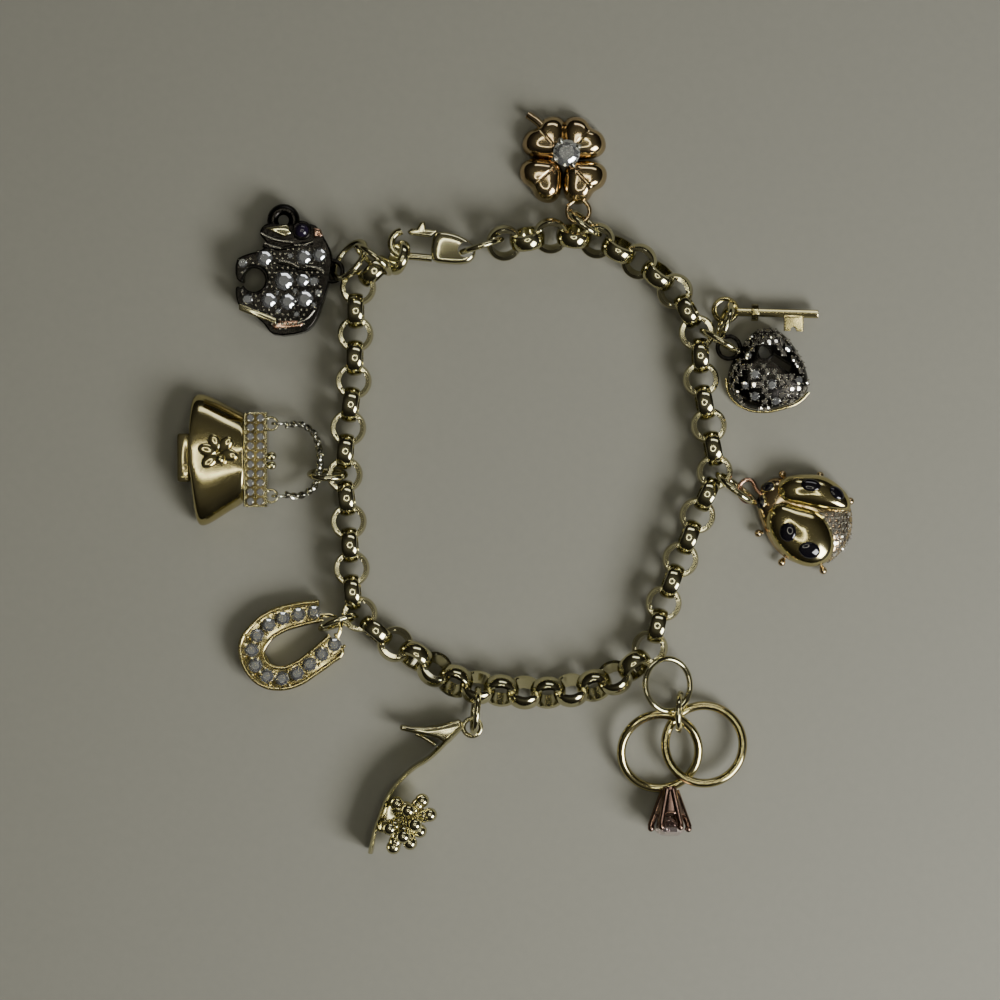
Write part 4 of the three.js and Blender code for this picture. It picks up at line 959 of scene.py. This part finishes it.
# Clover: four heart-shaped leaves, grooved down the middle, a curled stem and a clawed stone.
def make_clover():
    home = home_at(6.05, 43.4, 2)
    half = [(0.28, 0.30), (0.52, 0.52), (0.78, 0.54), (0.95, 0.36), (0.99, 0.16)]
    shape = [(0.02, 0)] + half + [(0.9, 0)] + [(x, -y) for x, y in reversed(half)]
    shape = [(x * 6.3, y * 6.5) for x, y in shape]
    leaves = []
    for turn in (48, 127, 218, 312):
        leaf = cushion("leaf", shape, [(0.97, 0.1), (1.0, 0.5), (0.97, 1.2), (0.84, 2.1), (0.55, 2.7),
                                       (0.2, 2.8)], (3.6, 0), 3)
        groove = wire("groove", [(1.2, 0, 3.2), (2.6, 0, 3.0), (4.4, 0, 2.9), (7.0, 0, 2.1)], 0.36)
        leaf = carved(leaf, groove)
        leaves.append(put(leaf, (0, 0, 0), turn))
    stem = wire("stem", [(-0.6, 1.6, 1.6), (-2.0, 3.6, 1.7), (-3.4, 5.3, 1.5), (-4.6, 6.3, 1.1)], 0.55)
    bail = torus("clover_bail", (1.7, -6.9, 1.3), 3.6, 0.6)
    finish_piece(joined(leaves + [stem, bail]), "clover_leaves", BLUSHED_GOLD, ["clover_body"], home=home,
                 smooth=50)
    stone = put(brilliant("clover_stone", 3.6), (0.3, 0.6, 4.3))
    finish_piece(stone, "clover_brilliant", CLEAR_STONE, ["clover_stone"], smooth=0, home=home)
    claws = [rod("clover_cup", (0.3, 0.6, 2.2), (0.3, 0.6, 3.9), 1.1, 1.75, 32)]
    for corner in range(4):
        angle = math.radians(25 + corner * 90)
        c, s = math.cos(angle), math.sin(angle)
        claws.append(rod("claw", (0.3 + 1.3 * c, 0.6 + 1.3 * s, 2.2),
                         (0.3 + 1.95 * c, 0.6 + 1.95 * s, 4.6), 0.3))
        claws.append(pearl("claw_tip", (0.3 + 1.8 * c, 0.6 + 1.8 * s, 4.65), 0.4))
    finish_piece(joined(claws), "clover_claws", WHITE_GOLD, home=home)


cast_clasp()
make_elephant()
make_handbag()
make_horseshoe()
make_mule()
make_rings()
make_ladybug()
make_padlock()
make_key()
make_clover()



# The table: a plain pale mat.
def lay_mat():
    bpy.ops.mesh.primitive_plane_add(size=1.2)
    mat = fresh("pale mat")
    material = bpy.data.materials.new("matt paper mat, warm grey")
    material.use_nodes = True
    tree = material.node_tree
    shader = tree.nodes["Principled BSDF"]
    shader.inputs["Roughness"].default_value = 0.85
    place = add_node(tree, "ShaderNodeTexCoord").outputs["Object"]
    tooth = add_node(tree, "ShaderNodeTexNoise", inputs={"Scale": 1 / (1.2 * MM), "Detail": 4.0},
                     links={"Vector": place})
    tone = add_node(tree, "ShaderNodeMix", {"data_type": "RGBA"}, links={"Factor": tooth.outputs["Fac"]})
    tone.inputs["A"].default_value = linear("#868579")
    tone.inputs["B"].default_value = linear("#818075")
    tree.links.new(tone.outputs["Result"], shader.inputs["Base Color"])
    mat.data.materials.append(material)


# Light: a broad soft box from the upper right, a weak fill, and a dim room for the metal to mirror.
def soft_box(name, at, aim, size, power):
    bpy.ops.object.light_add(type="AREA", location=at)
    lamp = bpy.context.view_layer.objects.active
    lamp.name = name
    lamp.data.shape = "RECTANGLE"
    lamp.data.size, lamp.data.size_y = size
    lamp.data.energy = power
    lamp.rotation_euler = (Vector(aim) - Vector(at)).to_track_quat("-Z", "Y").to_euler()


def light_the_table():
    soft_box("window box", (0.27, -0.22, 0.24), (0.05, -0.05, 0), (0.20, 0.20), 2.6)
    soft_box("fill box", (0.10, 0.44, 0.30), (0, 0, 0), (0.40, 0.10), 0.35)
    hang_ring_lamp()
    world = bpy.data.worlds.new("dim room")
    bpy.context.scene.world = world
    world.use_nodes = True
    tree = world.node_tree
    sky = tree.nodes["Background"]
    place = add_node(tree, "ShaderNodeTexCoord").outputs["Generated"]
    height = add_node(tree, "ShaderNodeSeparateXYZ", links={"Vector": place})
    ramp = add_node(tree, "ShaderNodeValToRGB", links={"Fac": height.outputs["Z"]})
    ramp.color_ramp.elements[0].color = linear("#1b1a17")
    ramp.color_ramp.elements[1].color = linear("#6a6860")
    middle = ramp.color_ramp.elements.new(0.6)
    middle.color = linear("#35332e")
    tree.links.new(ramp.outputs["Color"], sky.inputs["Color"])
    sky.inputs["Strength"].default_value = 0.8


# A ring lamp round the camera gives each link the small round highlight.
def hang_ring_lamp():
    height, reach, tube = 0.37, 0.105, 0.007
    bpy.ops.mesh.primitive_torus_add(location=(0, 0, height), major_radius=reach, minor_radius=tube,
                                     major_segments=64)
    lamp = fresh("ring lamp")
    glow = bpy.data.materials.new("ring lamp tube, lit")
    glow.use_nodes = True
    shader = glow.node_tree.nodes["Principled BSDF"]
    shader.inputs["Emission Color"].default_value = linear("#fffbe6")
    shader.inputs["Emission Strength"].default_value = 9.0
    lamp.data.materials.append(glow)


# The camera looks straight down, 0.135 mm of table to a pixel of a 1000 pixel frame.
def hang_camera():
    frame_wide, lens, sensor = 135 * MM, 100, 36
    bpy.ops.object.camera_add(location=(-1.95 * MM, -2.4 * MM, frame_wide * lens / sensor))
    camera = bpy.context.view_layer.objects.active
    camera.data.lens = lens
    camera.data.sensor_width = sensor
    camera.data.clip_start = 0.01
    camera.rotation_euler = (0, 0, 0)
    bpy.context.scene.camera = camera


lay_mat()
light_the_table()
hang_camera()
bpy.context.view_layer.update()
